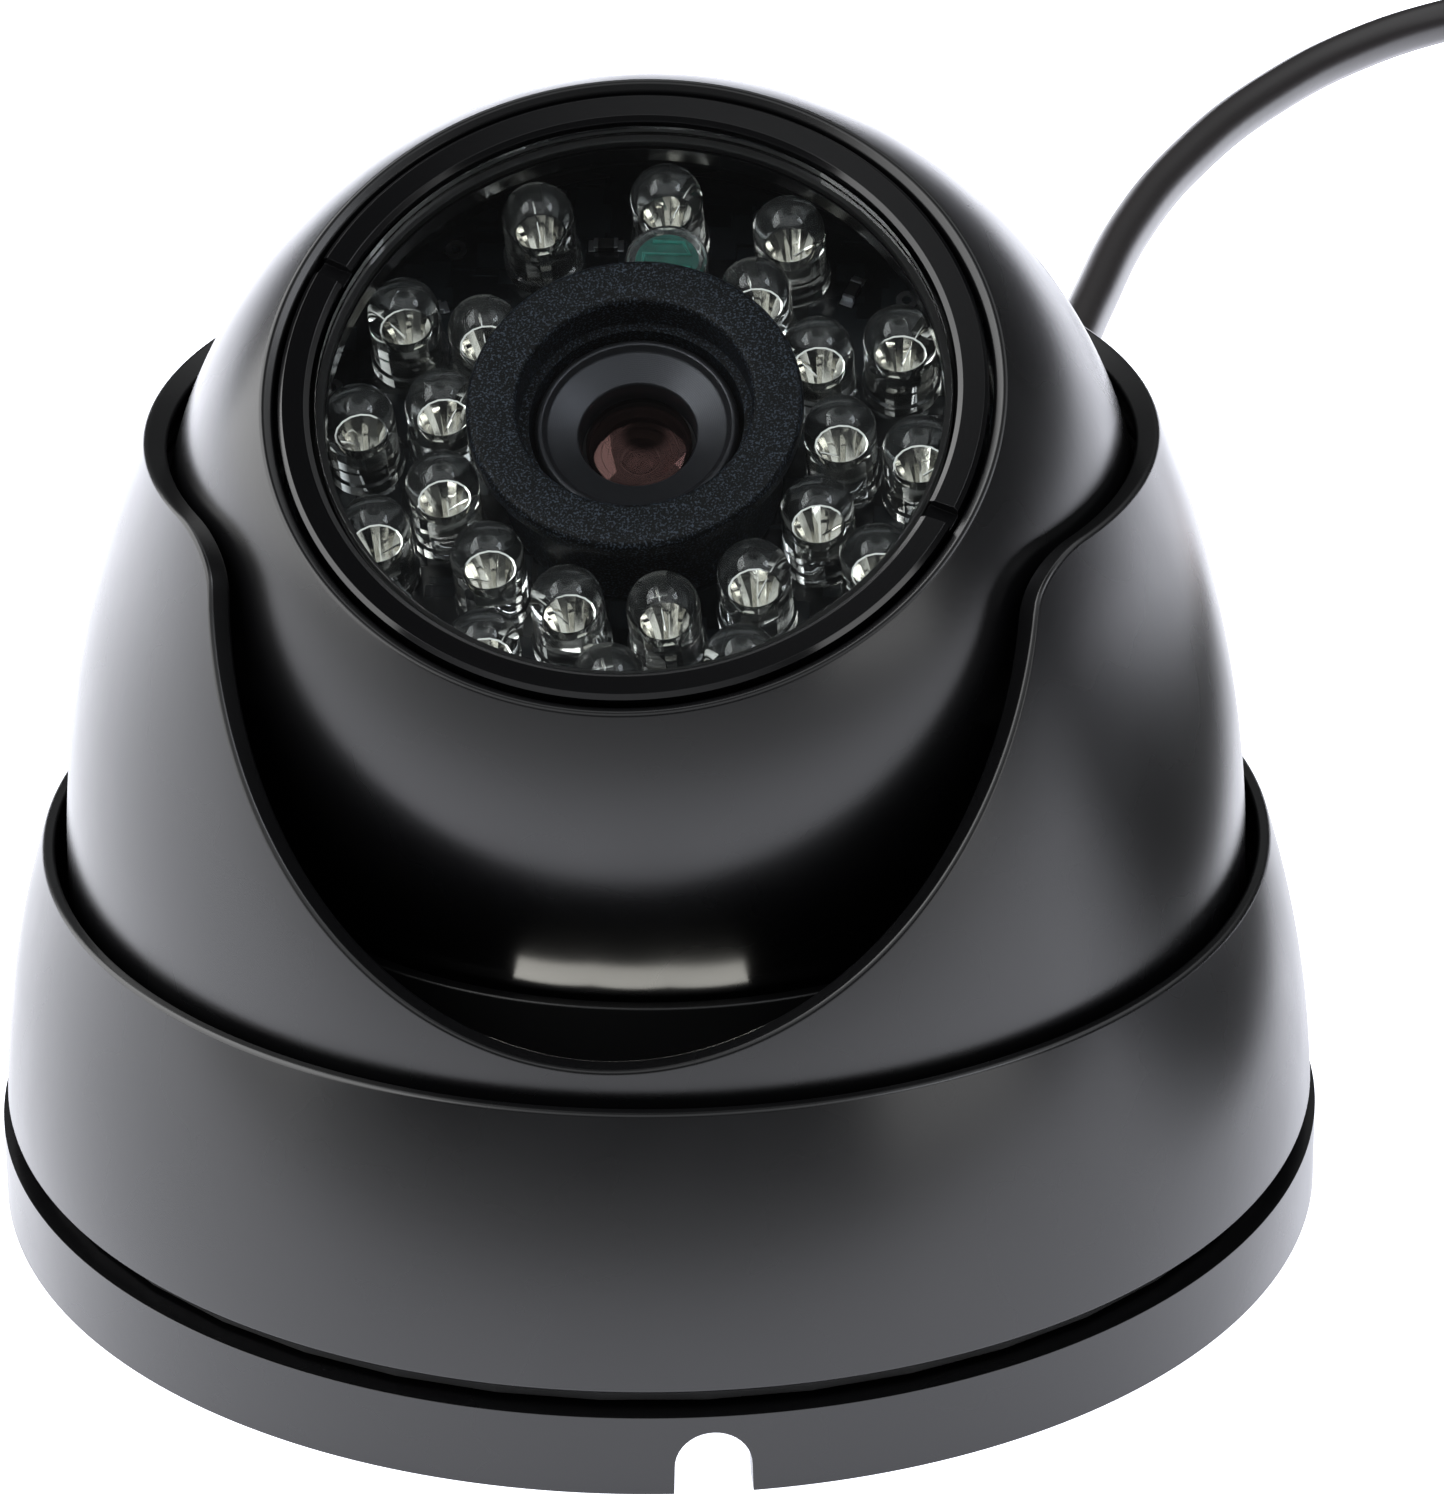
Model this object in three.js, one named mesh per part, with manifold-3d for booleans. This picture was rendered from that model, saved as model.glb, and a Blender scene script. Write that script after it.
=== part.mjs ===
// Dome security camera: a round base, a locking ring, a turning housing with a deep front scoop,
// and a ball camera head with a ring of infrared lamps behind a flat window.
// Millimetres, +Z up, origin at the middle of the base's underside, the head faces -Y.
import * as THREE from "three";
import { mergeVertices } from "three/addons/utils/BufferGeometryUtils.js";
import Module from "manifold-3d";

const wasm = await Module();
wasm.setup();

// Driving dimensions
const fitGap = 0.3; // clearance between pieces that touch
const roundSides = 40; // sides of the large round pieces
const smallSides = 12; // sides of screws, bushes and lamps

// base
const baseRadius = 47;
const baseWall = 2.4;
const flangeHeight = 5.9;
const collarRadius = 43.4;
const collarWall = 2.2;
const collarTop = 12.3;
const floorTop = 10.6;
const floorThickness = 2;
const floorHoleRadius = 25;
const flangeWeb = 1.1;
const screwCircle = 33;
const screwCircleStart = 60; // degrees round from +X
const screwBossRadius = 4.4;
const screwHoleRadius = 2.1;
const notchSideRoom = 1.3; // how much wider than the cable a notch is
const notchTopRoom = 0.45;
const notchTurn = 9.4; // degrees that the cable notches stand round from the front and back

// locking ring
const ringBottom = 7.5;
const ringTop = 26.9;
const ringBottomRadius = 46.6;
const ringTopRadius = 43.3;
const ringBulge = 70; // radius of the ring's barrel curve
const ringLipThickness = 0.9;

// housing
const housingRadius = 41.6;
const housingWall = 1.8;
const housingArc = 80; // radius of the curve that leans the wall inwards
const housingArcStart = 25;
const housingTop = 57.6;
const footThickness = 1.6;
const washerThickness = 0.8;
const scoopRadius = 27.7;
const scoopCentre = 56.8;
const scoopCorner = 3;
const lugCircle = 37.1;
const lugRadius = 3.3;
const lugTop = 23;
const lugHole = 1.5;
const cradleScrewRadius = 1.2;
const cradleScrewHead = 2.4;
const cradleScrewLength = 7.3;

// ball
const ballCentre = 46.6;
const ballRadius = 34.3;
const ballWall = 2.2;
const ballTilt = 34.8; // degrees that the lens axis leans from upright towards -Y
const lipRadius = 25;
const rearJoint = -19.2; // height of the shells' joint along the lens axis
const bushHoleRadius = 4.6;
const bushBore = 2.6;
const cradleFrom = 42; // degrees up from the ball's lowest point
const cradleTo = 57;
const cradlePlate = 2.2;
const linerBottom = 46;
const linerTop = 52.5;
const spigotWall = 1.8;
const sealThickness = 0.45;

// window and its screwed ring
const bezelRadius = 23.9;
const bezelTop = 23.6;
const bezelBottom = 19.7;
const bezelOpening = 21.8;
const bezelLedge = 20.9;
const windowThickness = 0.8;
const gasketThickness = 0.6;
const windowTop = 23.1;
const spannerSlotWidth = 1.3;
const spannerSlotDepth = 0.9;
const spannerSlotTurn = 157;

// lamp board and lamps
const boardRadius = 25.5;
const boardThickness = 1.6;
const boardHole = 8.4;
const lampRadius = 2.5;
const lampFlange = 2.6;
const lampHeight = 8;
const lampReach = 0.1; // how far the lamps' tips pass the underside of the window's ring
const outerLampCircle = 19.1;
const outerLampStep = 27; // degrees between the three lamps of a group
const outerGroupTurn = 88; // degrees round from the ball's side to the middle of the first group
const innerLampCircle = 13.7;
const innerLampStep = 27.4;
const innerLamps = 11;
const photocellTurn = 85.4;
const photocellRadius = 2.8;

// lens and sensor
const shroudRadius = 11.4;
const shroudNeck = 9.6;
const shroudOpening = 7.95;
const shroudBore = 7.3;
const shroudBrim = 1.15;
const lensHeadRadius = 6.9;
const lensBodyRadius = 5.8;
const lensTop = 18.9;
const lensBottom = 3.2;
const lensElementRadius = 3.4;
const holderBore = 6.1;
const holderRadius = 7.4;
const holderFoot = 17;
const sensorBoardSide = 34;
const sensorBoardTop = 0;
const chipSide = 7.6;
const spacerRadius = 2.3;
const spacerPlace = 12.3;

// cable
const cableWidth = 4.2;
const leadWidth = 3;
const coilTurnRadius = 23;
const coilPlace = [88, 217.2];
const tieTurn = 45; // degrees round the coil from +X
const splitPlace = [113.5, 184];
const splitLength = 20;
const splitWidth = 12;
const splitHeight = 7;
const leadSpread = 3.2; // distance of each lead from the split's middle line
const videoPlace = [124, 118];
const videoRadius = 7.25;
const videoLength = 30;
const powerPlace = [104, 128];
const powerRadius = 5;
const powerLength = 28;

// strain relief
const reliefOuter = 38; // distance of the block's cable face from the base's axis
const reliefLength = 12;
const reliefWidth = 12;
const reliefPocket = 4;
const reliefStud = 2;
const reliefRise = 1.3; // how far the cable rises from the ground to the block

// Values worked out from those
const radians = THREE.MathUtils.degToRad;
const washerBottom = collarTop + fitGap;
const footBottom = washerBottom + washerThickness + fitGap;
const footTop = footBottom + footThickness;
const ringStep = footTop + fitGap;
const housingInside = housingRadius - housingWall;
const floorUnder = floorTop - floorThickness;
const notchWidth = cableWidth + notchSideRoom;
const notchTop = cableWidth + notchTopRoom;
const notchRadius = notchWidth * 0.43;
const boardTop = bezelBottom + lampReach - lampHeight;
const sphereInside = ballRadius - ballWall;
const windowBottom = windowTop - windowThickness;
const gasketTop = windowBottom - fitGap;
const ledgeTop = gasketTop - gasketThickness - fitGap;
const shroudTop = windowBottom - fitGap;
const lampBottom = boardTop + fitGap;
const boardBottom = boardTop - boardThickness;
const heightOn = (radius, across) => Math.sqrt(radius * radius - across * across);
const cradleBottom = footBottom + fitGap;
const cradleTop = cradleBottom + cradlePlate;
const spigotOutside = heightOn(sphereInside, rearJoint) - 0.8;
const spigotTop = rearJoint + 2.6;
const headBottom = lensTop - 4.5; // underside of the lens barrel's wide head
const elementSeat = lensTop - 2.6;
const cableHeight = cableWidth / 2;
const reliefCableHeight = cableHeight + reliefRise;
const leadHeight = leadWidth / 2;
const coilTop = 2 * cableWidth;
const [coilX, coilY] = coilPlace;
const [splitX, splitY] = splitPlace;
const [videoX, videoY] = videoPlace;
const [powerX, powerY] = powerPlace;
const reliefMiddle = reliefOuter - reliefLength + 5; // distance of the stud from the base's axis

// Making and joining solids
// A geometry with shared corners merged and faces without area dropped.
function tidyGeometry(geometry) {
  const plain = geometry.clone();
  plain.deleteAttribute("normal");
  plain.deleteAttribute("uv");
  const merged = mergeVertices(plain, 1e-4);
  const kept = [];
  const index = merged.index.array;
  for (let i = 0; i < index.length; i += 3) {
    const [a, b, c] = [index[i], index[i + 1], index[i + 2]];
    if (a !== b && b !== c && a !== c) kept.push(a, b, c);
  }
  merged.setIndex(kept);
  return merged;
}

function toSolid(geometry) {
  const tidy = tidyGeometry(geometry);
  return new wasm.Manifold(
    new wasm.Mesh({
      numProp: 3,
      vertProperties: new Float32Array(tidy.attributes.position.array),
      triVerts: new Uint32Array(tidy.index.array),
    }),
  );
}

function toGeometry(solid) {
  const mesh = solid.getMesh();
  const geometry = new THREE.BufferGeometry();
  geometry.setAttribute("position", new THREE.BufferAttribute(mesh.vertProperties, 3));
  geometry.setIndex(new THREE.BufferAttribute(mesh.triVerts, 1));
  return geometry;
}

const join = (first, ...rest) => toGeometry(rest.reduce((a, b) => a.add(toSolid(b)), toSolid(first)));
const cut = (first, ...rest) => toGeometry(rest.reduce((a, b) => a.subtract(toSolid(b)), toSolid(first)));

// A profile of [radius, height] pairs turned about Z. It runs counter-clockwise round its material.
function turned(profile, sides = roundSides) {
  const onAxis = profile[0][0] === 0 && profile[profile.length - 1][0] === 0;
  const loop = onAxis ? profile : [...profile, profile[0]];
  const points = loop.map(([radius, height]) => new THREE.Vector2(radius, height));
  return new THREE.LatheGeometry(points, sides).rotateX(Math.PI / 2);
}

function cylinder(radius, from, to, sides = smallSides) {
  return turned([[0, from], [radius, from], [radius, to], [0, to]], sides);
}

function tube(radius, bore, from, to, sides = smallSides) {
  return turned([[bore, from], [radius, from], [radius, to], [bore, to]], sides);
}

function box(width, depth, height, x, y, z) {
  return new THREE.BoxGeometry(width, depth, height).translate(x, y, z);
}

// Points of a circle about (acrossMid, upMid) in a profile, from one angle to another.
function arc(acrossMid, upMid, radius, from, to, steps) {
  const points = [];
  for (let i = 0; i <= steps; i++) {
    const angle = radians(from + ((to - from) * i) / steps);
    points.push([acrossMid + radius * Math.cos(angle), upMid + radius * Math.sin(angle)]);
  }
  return points;
}

const degreesAt = (across, up) => THREE.MathUtils.radToDeg(Math.atan2(up, across));

function material(color, roughness, metalness) {
  return new THREE.MeshStandardMaterial({ color, roughness, metalness });
}

const finishes = {
  blackPaint: material(0x101113, 0.35, 0.2),
  blackGloss: material(0x050506, 0.15, 0.0),
  blackPlastic: material(0x17181a, 0.6, 0.0),
  rubber: material(0x1b1b1b, 0.85, 0.0),
  nylon: material(0xd9d6cc, 0.5, 0.0),
  steel: material(0xb9bbbd, 0.3, 1.0),
  board: material(0x0b0c0d, 0.3, 0.0),
  clear: material(0xdfe6ea, 0.05, 0.0),
  glass: material(0xc9d4d8, 0.03, 0.0),
  element: material(0x2c4a44, 0.1, 0.0),
  cable: material(0x2a2827, 0.5, 0.0),
  yellow: material(0xd8b21c, 0.45, 0.0),
  red: material(0xa8201c, 0.45, 0.0),
};

function part(name, geometry, finish) {
  const mesh = new THREE.Mesh(tidyGeometry(geometry), finishes[finish]);
  mesh.name = name;
  return mesh;
}

// Base
// A point on the ground plane a given distance out along the front or the back cable notch.
function alongNotch(distance, back) {
  const side = back ? 1 : -1;
  const turn = radians(notchTurn);
  return [-side * distance * Math.sin(turn), side * distance * Math.cos(turn)];
}

function notchCutter(back) {
  const straight = notchTop - notchRadius;
  const outline = new THREE.Shape();
  outline.moveTo(-notchWidth / 2, -1);
  outline.lineTo(notchWidth / 2, -1);
  outline.lineTo(notchRadius, straight);
  outline.absarc(0, straight, notchRadius, 0, Math.PI, false);
  outline.closePath();
  const length = 8;
  const cutter = new THREE.ExtrudeGeometry(outline, { depth: length, bevelEnabled: false, curveSegments: 8 });
  cutter.rotateX(Math.PI / 2).translate(0, length / 2, 0);
  const [x, y] = alongNotch(baseRadius - baseWall / 2, back);
  return cutter.rotateZ(radians(notchTurn)).translate(x, y, 0);
}

function basePlate() {
  const inside = baseRadius - baseWall;
  const hollow = collarRadius - collarWall;
  const plate = turned([
    [inside, 0],
    [baseRadius, 0],
    [baseRadius, flangeHeight - 0.4],
    [baseRadius - 0.4, flangeHeight],
    [collarRadius, flangeHeight],
    [collarRadius, collarTop],
    [collarRadius - collarWall - 0.8, collarTop],
    [collarRadius - collarWall - 0.8, floorTop],
    [floorHoleRadius, floorTop],
    [floorHoleRadius, floorUnder],
    [hollow, floorUnder],
    [hollow, flangeHeight - flangeWeb],
    [inside, flangeHeight - flangeWeb],
  ]);
  const bosses = [];
  const holes = [];
  for (let i = 0; i < 3; i++) {
    const turn = radians(screwCircleStart + 120 * i);
    const x = screwCircle * Math.cos(turn);
    const y = screwCircle * Math.sin(turn);
    bosses.push(cylinder(screwBossRadius, 0, floorTop - 0.5).translate(x, y, 0));
    holes.push(cylinder(screwHoleRadius, -1, collarTop).translate(x, y, 0));
  }
  const studPlace = alongNotch(reliefMiddle, true);
  const studHole = cylinder(reliefStud + fitGap, 1, collarTop).translate(...studPlace, 0);
  return cut(join(plate, ...bosses), ...holes, notchCutter(false), notchCutter(true), studHole);
}

// The rubber block that grips the cable inside the base, with a stud snapped up through its floor.
function strainRelief() {
  const top = floorUnder - fitGap;
  const foot = 0.5;
  const across = reliefOuter - reliefLength / 2;
  const block = box(reliefWidth, reliefLength, top - foot, 0, across, (top + foot) / 2);
  const stud = turned([
    [0, top - 1],
    [reliefStud, top - 1],
    [reliefStud, floorTop + fitGap],
    [reliefStud + 0.9, floorTop + fitGap],
    [reliefStud, floorTop + fitGap + 0.9],
    [0, floorTop + fitGap + 0.9],
  ], smallSides).translate(0, reliefMiddle, 0);
  const pocket = cylinder(cableWidth / 2 + 2 * fitGap, reliefOuter - reliefPocket, reliefOuter + 1, 12);
  pocket.rotateX(-Math.PI / 2).translate(0, 0, reliefCableHeight);
  return cut(join(block, stud), pocket).rotateZ(radians(notchTurn));
}

function panHeadScrew(radius, head, headHeight, length) {
  return turned(
    [
      [0, 0],
      [head * 0.75, 0],
      [head, headHeight * 0.45],
      [head, headHeight],
      [radius, headHeight],
      [radius, length],
      [0, length],
    ],
    smallSides,
  );
}

const ringProfileRadius = (height) =>
  ringBottomRadius - Math.pow(height - ringBottom, 2) / (2 * ringBulge) -
  ((height - ringBottom) / (ringTop - ringBottom)) *
    (ringBottomRadius - ringTopRadius - Math.pow(ringTop - ringBottom, 2) / (2 * ringBulge));

function lockingRing() {
  const outside = [];
  const steps = 4;
  for (let i = 0; i <= steps; i++) {
    const height = ringBottom + ((ringTop - 0.4 - ringBottom) * i) / steps;
    outside.push([ringProfileRadius(height), height]);
  }
  const mouth = ringTopRadius - ringLipThickness;
  const thread = collarRadius + fitGap;
  return turned([
    [thread, ringBottom],
    ...outside,
    [ringTopRadius - 0.35, ringTop],
    [mouth, ringTop],
    [mouth, ringStep],
    [thread, ringStep],
  ]);
}

// Housing
const housingOutside = (height) =>
  housingRadius - Math.pow(Math.max(height - housingArcStart, 0), 2) / (2 * housingArc);

// The scoop's outline seen from the front, as a prism that runs back from well outside the wall.
function scoopCutter(grow) {
  const radius = scoopRadius + grow;
  const corner = scoopCorner;
  const drop = housingTop - corner - scoopCentre;
  const cornerAcross = Math.sqrt(Math.pow(radius + corner, 2) - drop * drop);
  const meet = Math.atan2(drop, cornerAcross);
  const above = housingTop + 6;
  const outline = new THREE.Shape();
  outline.moveTo(-cornerAcross - 0.01, above);
  outline.lineTo(-cornerAcross - 0.01, housingTop);
  outline.absarc(-cornerAcross, housingTop - corner, corner, Math.PI / 2, -meet, true);
  outline.absarc(0, scoopCentre, radius, Math.PI - meet, 2 * Math.PI + meet, false);
  outline.absarc(cornerAcross, housingTop - corner, corner, Math.PI + meet, Math.PI / 2, true);
  outline.lineTo(cornerAcross + 0.01, above);
  outline.closePath();
  const depth = baseRadius + 5;
  const cutter = new THREE.ExtrudeGeometry(outline, { depth, bevelEnabled: false, curveSegments: 12 });
  return cutter.rotateX(Math.PI / 2);
}

function housing() {
  const steps = 5;
  const outside = [];
  const inside = [];
  const rimRound = 0.5;
  for (let i = 0; i <= steps; i++) {
    const height = housingArcStart + ((housingTop - rimRound - housingArcStart) * i) / steps;
    outside.push([housingOutside(height), height]);
    inside.unshift([housingOutside(height) - housingWall, height]);
  }
  const shell = turned([
    [housingInside, footBottom],
    [collarRadius, footBottom],
    [collarRadius, footTop],
    [housingRadius, footTop],
    ...outside,
    [housingOutside(housingTop) - rimRound, housingTop],
    [housingOutside(housingTop) - housingWall + rimRound, housingTop],
    ...inside,
  ]);
  const lugs = [];
  const holes = [];
  forEachCradleScrew((x, y) => {
    lugs.push(cylinder(lugRadius, cradleTop + fitGap, lugTop).translate(x, y, 0));
    holes.push(cylinder(lugHole, cradleTop - 1, lugTop - 1.5, 12).translate(x, y, 0));
  });
  return cut(join(shell, ...lugs), ...holes, scoopCutter(0));
}

function forEachCradleScrew(place) {
  for (let i = 0; i < 3; i++) {
    const turn = radians(90 + 120 * i);
    place(lugCircle * Math.cos(turn), lugCircle * Math.sin(turn), i);
  }
}

function ballCradle() {
  const seat = arc(0, ballCentre, ballRadius + fitGap, cradleTo - 90, cradleFrom - 90, 3);
  const [seatOut] = seat[0];
  const [seatIn] = seat[seat.length - 1];
  const wallTop = seat[0][1];
  const ring = turned([
    [seatIn + 2.4, cradleBottom],
    [housingInside - fitGap, cradleBottom],
    [housingInside - fitGap, cradleTop],
    [seatOut + 1.6, cradleTop],
    [seatOut + 1, wallTop],
    ...seat,
    [seatIn + 2.4, cradleTop],
  ]);
  const holes = [];
  forEachCradleScrew((x, y) => {
    holes.push(cylinder(lugHole, cradleBottom - 1, cradleTop + 1, 12).translate(x, y, 0));
  });
  return cut(ring, ...holes);
}

function ballLiner() {
  const steps = 2;
  const inside = [];
  const outside = [];
  for (let i = 0; i <= steps; i++) {
    const height = linerBottom + ((linerTop - linerBottom) * i) / steps;
    outside.push([housingOutside(height) - housingWall - fitGap, height]);
    inside.unshift([heightOn(ballRadius + fitGap, height - ballCentre), height]);
  }
  return cut(turned([...outside, ...inside]), scoopCutter(1.2));
}

// Ball, in its own frame: centre at the origin, lens axis along +Z
function ballFrontShell() {
  const lipHeight = heightOn(ballRadius, lipRadius);
  const bore = bezelRadius + fitGap;
  const neckRadius = bore + 2.8;
  const neckHeight = heightOn(sphereInside, neckRadius);
  const ledgeInner = boardRadius - 0.9;
  const ledgeBottom = boardTop + fitGap;
  const ledgeTopAt = ledgeBottom + 1.6;
  const rearOut = heightOn(ballRadius, rearJoint);
  const rearIn = heightOn(sphereInside, rearJoint);
  const at = (radius, height) => degreesAt(heightOn(radius, height), height);
  return turned([
    ...arc(0, 0, ballRadius, degreesAt(rearOut, rearJoint), degreesAt(lipRadius, lipHeight), 7),
    [bore, lipHeight - 0.8],
    [bore, neckHeight],
    ...arc(0, 0, sphereInside, degreesAt(neckRadius, neckHeight), at(sphereInside, ledgeTopAt), 1),
    [ledgeInner, ledgeTopAt],
    [ledgeInner, ledgeBottom],
    ...arc(0, 0, sphereInside, at(sphereInside, ledgeBottom), degreesAt(rearIn, rearJoint), 3),
  ]);
}

function ballRearShell() {
  const joint = rearJoint - fitGap;
  const rearOut = heightOn(ballRadius, joint);
  const bushHeightIn = heightOn(sphereInside, bushHoleRadius);
  const bushHeightOut = heightOn(ballRadius, bushHoleRadius);
  const spigotInside = spigotOutside - spigotWall;
  const spigotFoot = heightOn(sphereInside, spigotInside);
  const innerFrom = degreesAt(spigotInside, -spigotFoot);
  const innerTo = degreesAt(bushHoleRadius, -bushHeightIn);
  return turned([
    ...arc(0, 0, ballRadius, degreesAt(bushHoleRadius, -bushHeightOut), degreesAt(rearOut, joint), 4),
    [spigotOutside, joint],
    [spigotOutside, spigotTop],
    [spigotInside, spigotTop],
    ...arc(0, 0, sphereInside, innerFrom, innerTo, 2),
  ]);
}

function shellSeal() {
  const middle = spigotOutside + fitGap + sealThickness;
  return turned(arc(middle, rearJoint + 1, sealThickness, 0, 360 - 90, 3), 32);
}

// The rubber bush in the ball's back, which the ball rolls about.
function rearCableBush() {
  const neck = bushHoleRadius - fitGap;
  const inner = heightOn(sphereInside, bushHoleRadius + 1.6) - fitGap;
  const outer = heightOn(ballRadius, neck) - 0.2;
  return turned([
    [bushBore, -outer],
    [neck, -outer],
    [neck, -inner],
    [neck + 1.4, -inner],
    [neck + 1.4, -inner + 2],
    [bushBore, -inner + 2],
  ]);
}

function bezelRing() {
  const rimDrop = 0.35;
  const ring = turned([
    [bezelLedge, bezelBottom],
    [bezelRadius, bezelBottom],
    [bezelRadius, bezelTop - rimDrop],
    [bezelRadius - rimDrop, bezelTop],
    [bezelOpening, bezelTop - rimDrop],
    [bezelOpening, ledgeTop],
    [bezelLedge, ledgeTop],
  ]);
  const slots = [0, 180].map((side) =>
    box(6, spannerSlotWidth, 2, bezelRadius, 0, bezelTop - spannerSlotDepth + 1).rotateZ(
      radians(spannerSlotTurn + side),
    ),
  );
  return cut(ring, ...slots);
}

function windowGasket() {
  return tube(bezelOpening - fitGap, bezelLedge, gasketTop - gasketThickness, gasketTop, roundSides);
}

function windowGlass() {
  const radius = bezelOpening - fitGap;
  return cylinder(radius, windowBottom, windowTop, roundSides);
}

// Lamp board
// Every lamp's angle round the lens and its distance from it: four groups of three, and an inner ring.
function lampPlaces() {
  const places = [];
  for (let group = 0; group < 4; group++) {
    for (let i = -1; i <= 1; i++) {
      places.push([outerGroupTurn + 90 * group + outerLampStep * i, outerLampCircle]);
    }
  }
  for (let i = 1; i <= innerLamps; i++) places.push([photocellTurn - innerLampStep * i, innerLampCircle]);
  return places;
}

function lampBoard() {
  return tube(boardRadius, boardHole, boardBottom, boardTop, roundSides);
}

function lamp() {
  const domeBase = lampHeight - lampRadius;
  return turned(
    [
      [0, 0],
      [lampFlange, 0],
      [lampFlange, 1],
      [lampRadius, 1],
      ...arc(0, domeBase, lampRadius, 0, 90, 2).map(([across, up]) => [across < 1e-6 ? 0 : across, up]),
    ],
    8,
  );
}

function photocell() {
  const rise = 4.6; // it stands off the board on its legs, in one sleeve
  const sleeve = 1.4;
  const thickness = 2.2;
  return turned(
    [
      [0, fitGap],
      [sleeve, fitGap],
      [sleeve, rise],
      [photocellRadius, rise],
      [photocellRadius, rise + thickness - 0.5],
      [photocellRadius - 0.5, rise + thickness],
      [0, rise + thickness],
    ],
    12,
  );
}

// Lens and sensor
function lensShroud() {
  const brimBottom = shroudTop - shroudBrim;
  const step = lensTop + 0.4;
  return turned(
    [
      [shroudBore, boardTop + fitGap],
      [shroudNeck, boardTop + fitGap],
      [shroudNeck, brimBottom - 1],
      [shroudRadius, brimBottom],
      [shroudRadius, shroudTop - 0.3],
      [shroudRadius - 0.3, shroudTop],
      [shroudOpening, shroudTop],
      [shroudOpening, step],
      [shroudBore, step],
    ],
    24,
  );
}

function lensBarrel() {
  const coneIn = 4;
  const coneOut = 6.1;
  const bore = lensElementRadius + fitGap;
  return turned(
    [
      [2.6, lensBottom],
      [lensBodyRadius, lensBottom],
      [lensBodyRadius, headBottom],
      [lensHeadRadius, headBottom],
      [lensHeadRadius, lensTop],
      [coneOut + 0.3, lensTop],
      [coneOut, lensTop - 0.6],
      [coneIn, elementSeat + 0.3],
      [bore, elementSeat + 0.2],
      [bore, elementSeat - 1.8],
      [2.6, elementSeat - 1.8],
    ],
    20,
  );
}

function lensFrontElement() {
  const edge = elementSeat - 1.5;
  const crown = 0.9;
  const bend = (lensElementRadius * lensElementRadius + crown * crown) / (2 * crown);
  const half = THREE.MathUtils.radToDeg(Math.asin(lensElementRadius / bend));
  const dome = arc(0, edge + 0.5 + crown - bend, bend, 90 - half, 90, 2);
  dome[dome.length - 1][0] = 0;
  return turned([[0, edge], [lensElementRadius, edge], ...dome], 16);
}

function lensHolder() {
  const footHeight = 2;
  const top = boardBottom - 1;
  const foot = box(holderFoot, holderFoot, footHeight, 0, 0, sensorBoardTop + fitGap + footHeight / 2);
  const tower = cylinder(holderRadius, sensorBoardTop + fitGap + 1, top, 20);
  const bore = cylinder(holderBore, sensorBoardTop, top + 1, 20);
  return cut(join(foot, tower), bore);
}

function sensorBoard() {
  const side = sensorBoardSide;
  const corner = 5;
  const outline = new THREE.Shape();
  const half = side / 2;
  outline.moveTo(-half + corner, -half);
  outline.lineTo(half - corner, -half);
  outline.lineTo(half, -half + corner);
  outline.lineTo(half, half - corner);
  outline.lineTo(half - corner, half);
  outline.lineTo(-half + corner, half);
  outline.lineTo(-half, half - corner);
  outline.lineTo(-half, -half + corner);
  outline.closePath();
  const board = new THREE.ExtrudeGeometry(outline, { depth: boardThickness, bevelEnabled: false });
  return board.translate(0, 0, sensorBoardTop - boardThickness);
}

// Cable
// A round section swept along a smooth curve through the points.
function sweep(points, width, steps) {
  const sides = 8;
  const curve = new THREE.CatmullRomCurve3(points.map((point) => new THREE.Vector3(...point)));
  const outline = new THREE.Shape();
  for (let i = 0; i < sides; i++) {
    const angle = (2 * Math.PI * (i + 0.5)) / sides;
    const [x, y] = [(width / 2) * Math.cos(angle), (width / 2) * Math.sin(angle)];
    if (i === 0) outline.moveTo(x, y);
    else outline.lineTo(x, y);
  }
  outline.closePath();
  return new THREE.ExtrudeGeometry(outline, { steps, extrudePath: curve, bevelEnabled: false });
}

// From the block in the base, out of the back notch, along the ground behind the base to the coil.
const cableRoute = [
  [...alongNotch(reliefOuter - reliefPocket + fitGap, true), reliefCableHeight],
  [...alongNotch(reliefOuter, true), cableHeight + 1],
  [...alongNotch(reliefOuter + 3.5, true), cableHeight + 0.3],
  [...alongNotch(baseRadius - baseWall, true), cableHeight],
  [...alongNotch(baseRadius + 3, true), cableHeight],
  [-9.4, 63, cableHeight],
  [-7, 75, cableHeight],
  [-1.4, 86.5, cableHeight],
  [6, 97.8, cableHeight],
  [13, 109.5, cableHeight],
  [18.4, 122, cableHeight],
  [21.8, 134.5, cableHeight],
  [23.7, 146, cableHeight],
  [25.1, 156.3, cableHeight],
  [27.9, 174.1, cableHeight],
  [32.4, 190.8, cableHeight],
  [39.9, 208.6, cableHeight],
  [49.2, 222.7, cableHeight],
  [57.6, 230.6, cableHeight],
  [65.7, 235.9, cableHeight],
  [74.2, 239.1, cableHeight],
  [81, 240, cableHeight],
  [coilX - fitGap, coilY + coilTurnRadius, cableHeight],
];

// From the coil's upper turn down to the moulded split.
const tailRoute = [
  [coilX + coilTurnRadius, coilY - fitGap, coilTop - cableHeight],
  [coilX + coilTurnRadius + 0.5, coilY - 7, coilTop - cableHeight - 0.1],
  [coilX + coilTurnRadius + 1.8, coilY - 14, coilTop - cableHeight - 1.1],
  [splitX, splitY + splitLength / 2 + 3, splitHeight / 2],
  [splitX, splitY + splitLength / 2 + fitGap, splitHeight / 2],
];

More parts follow.
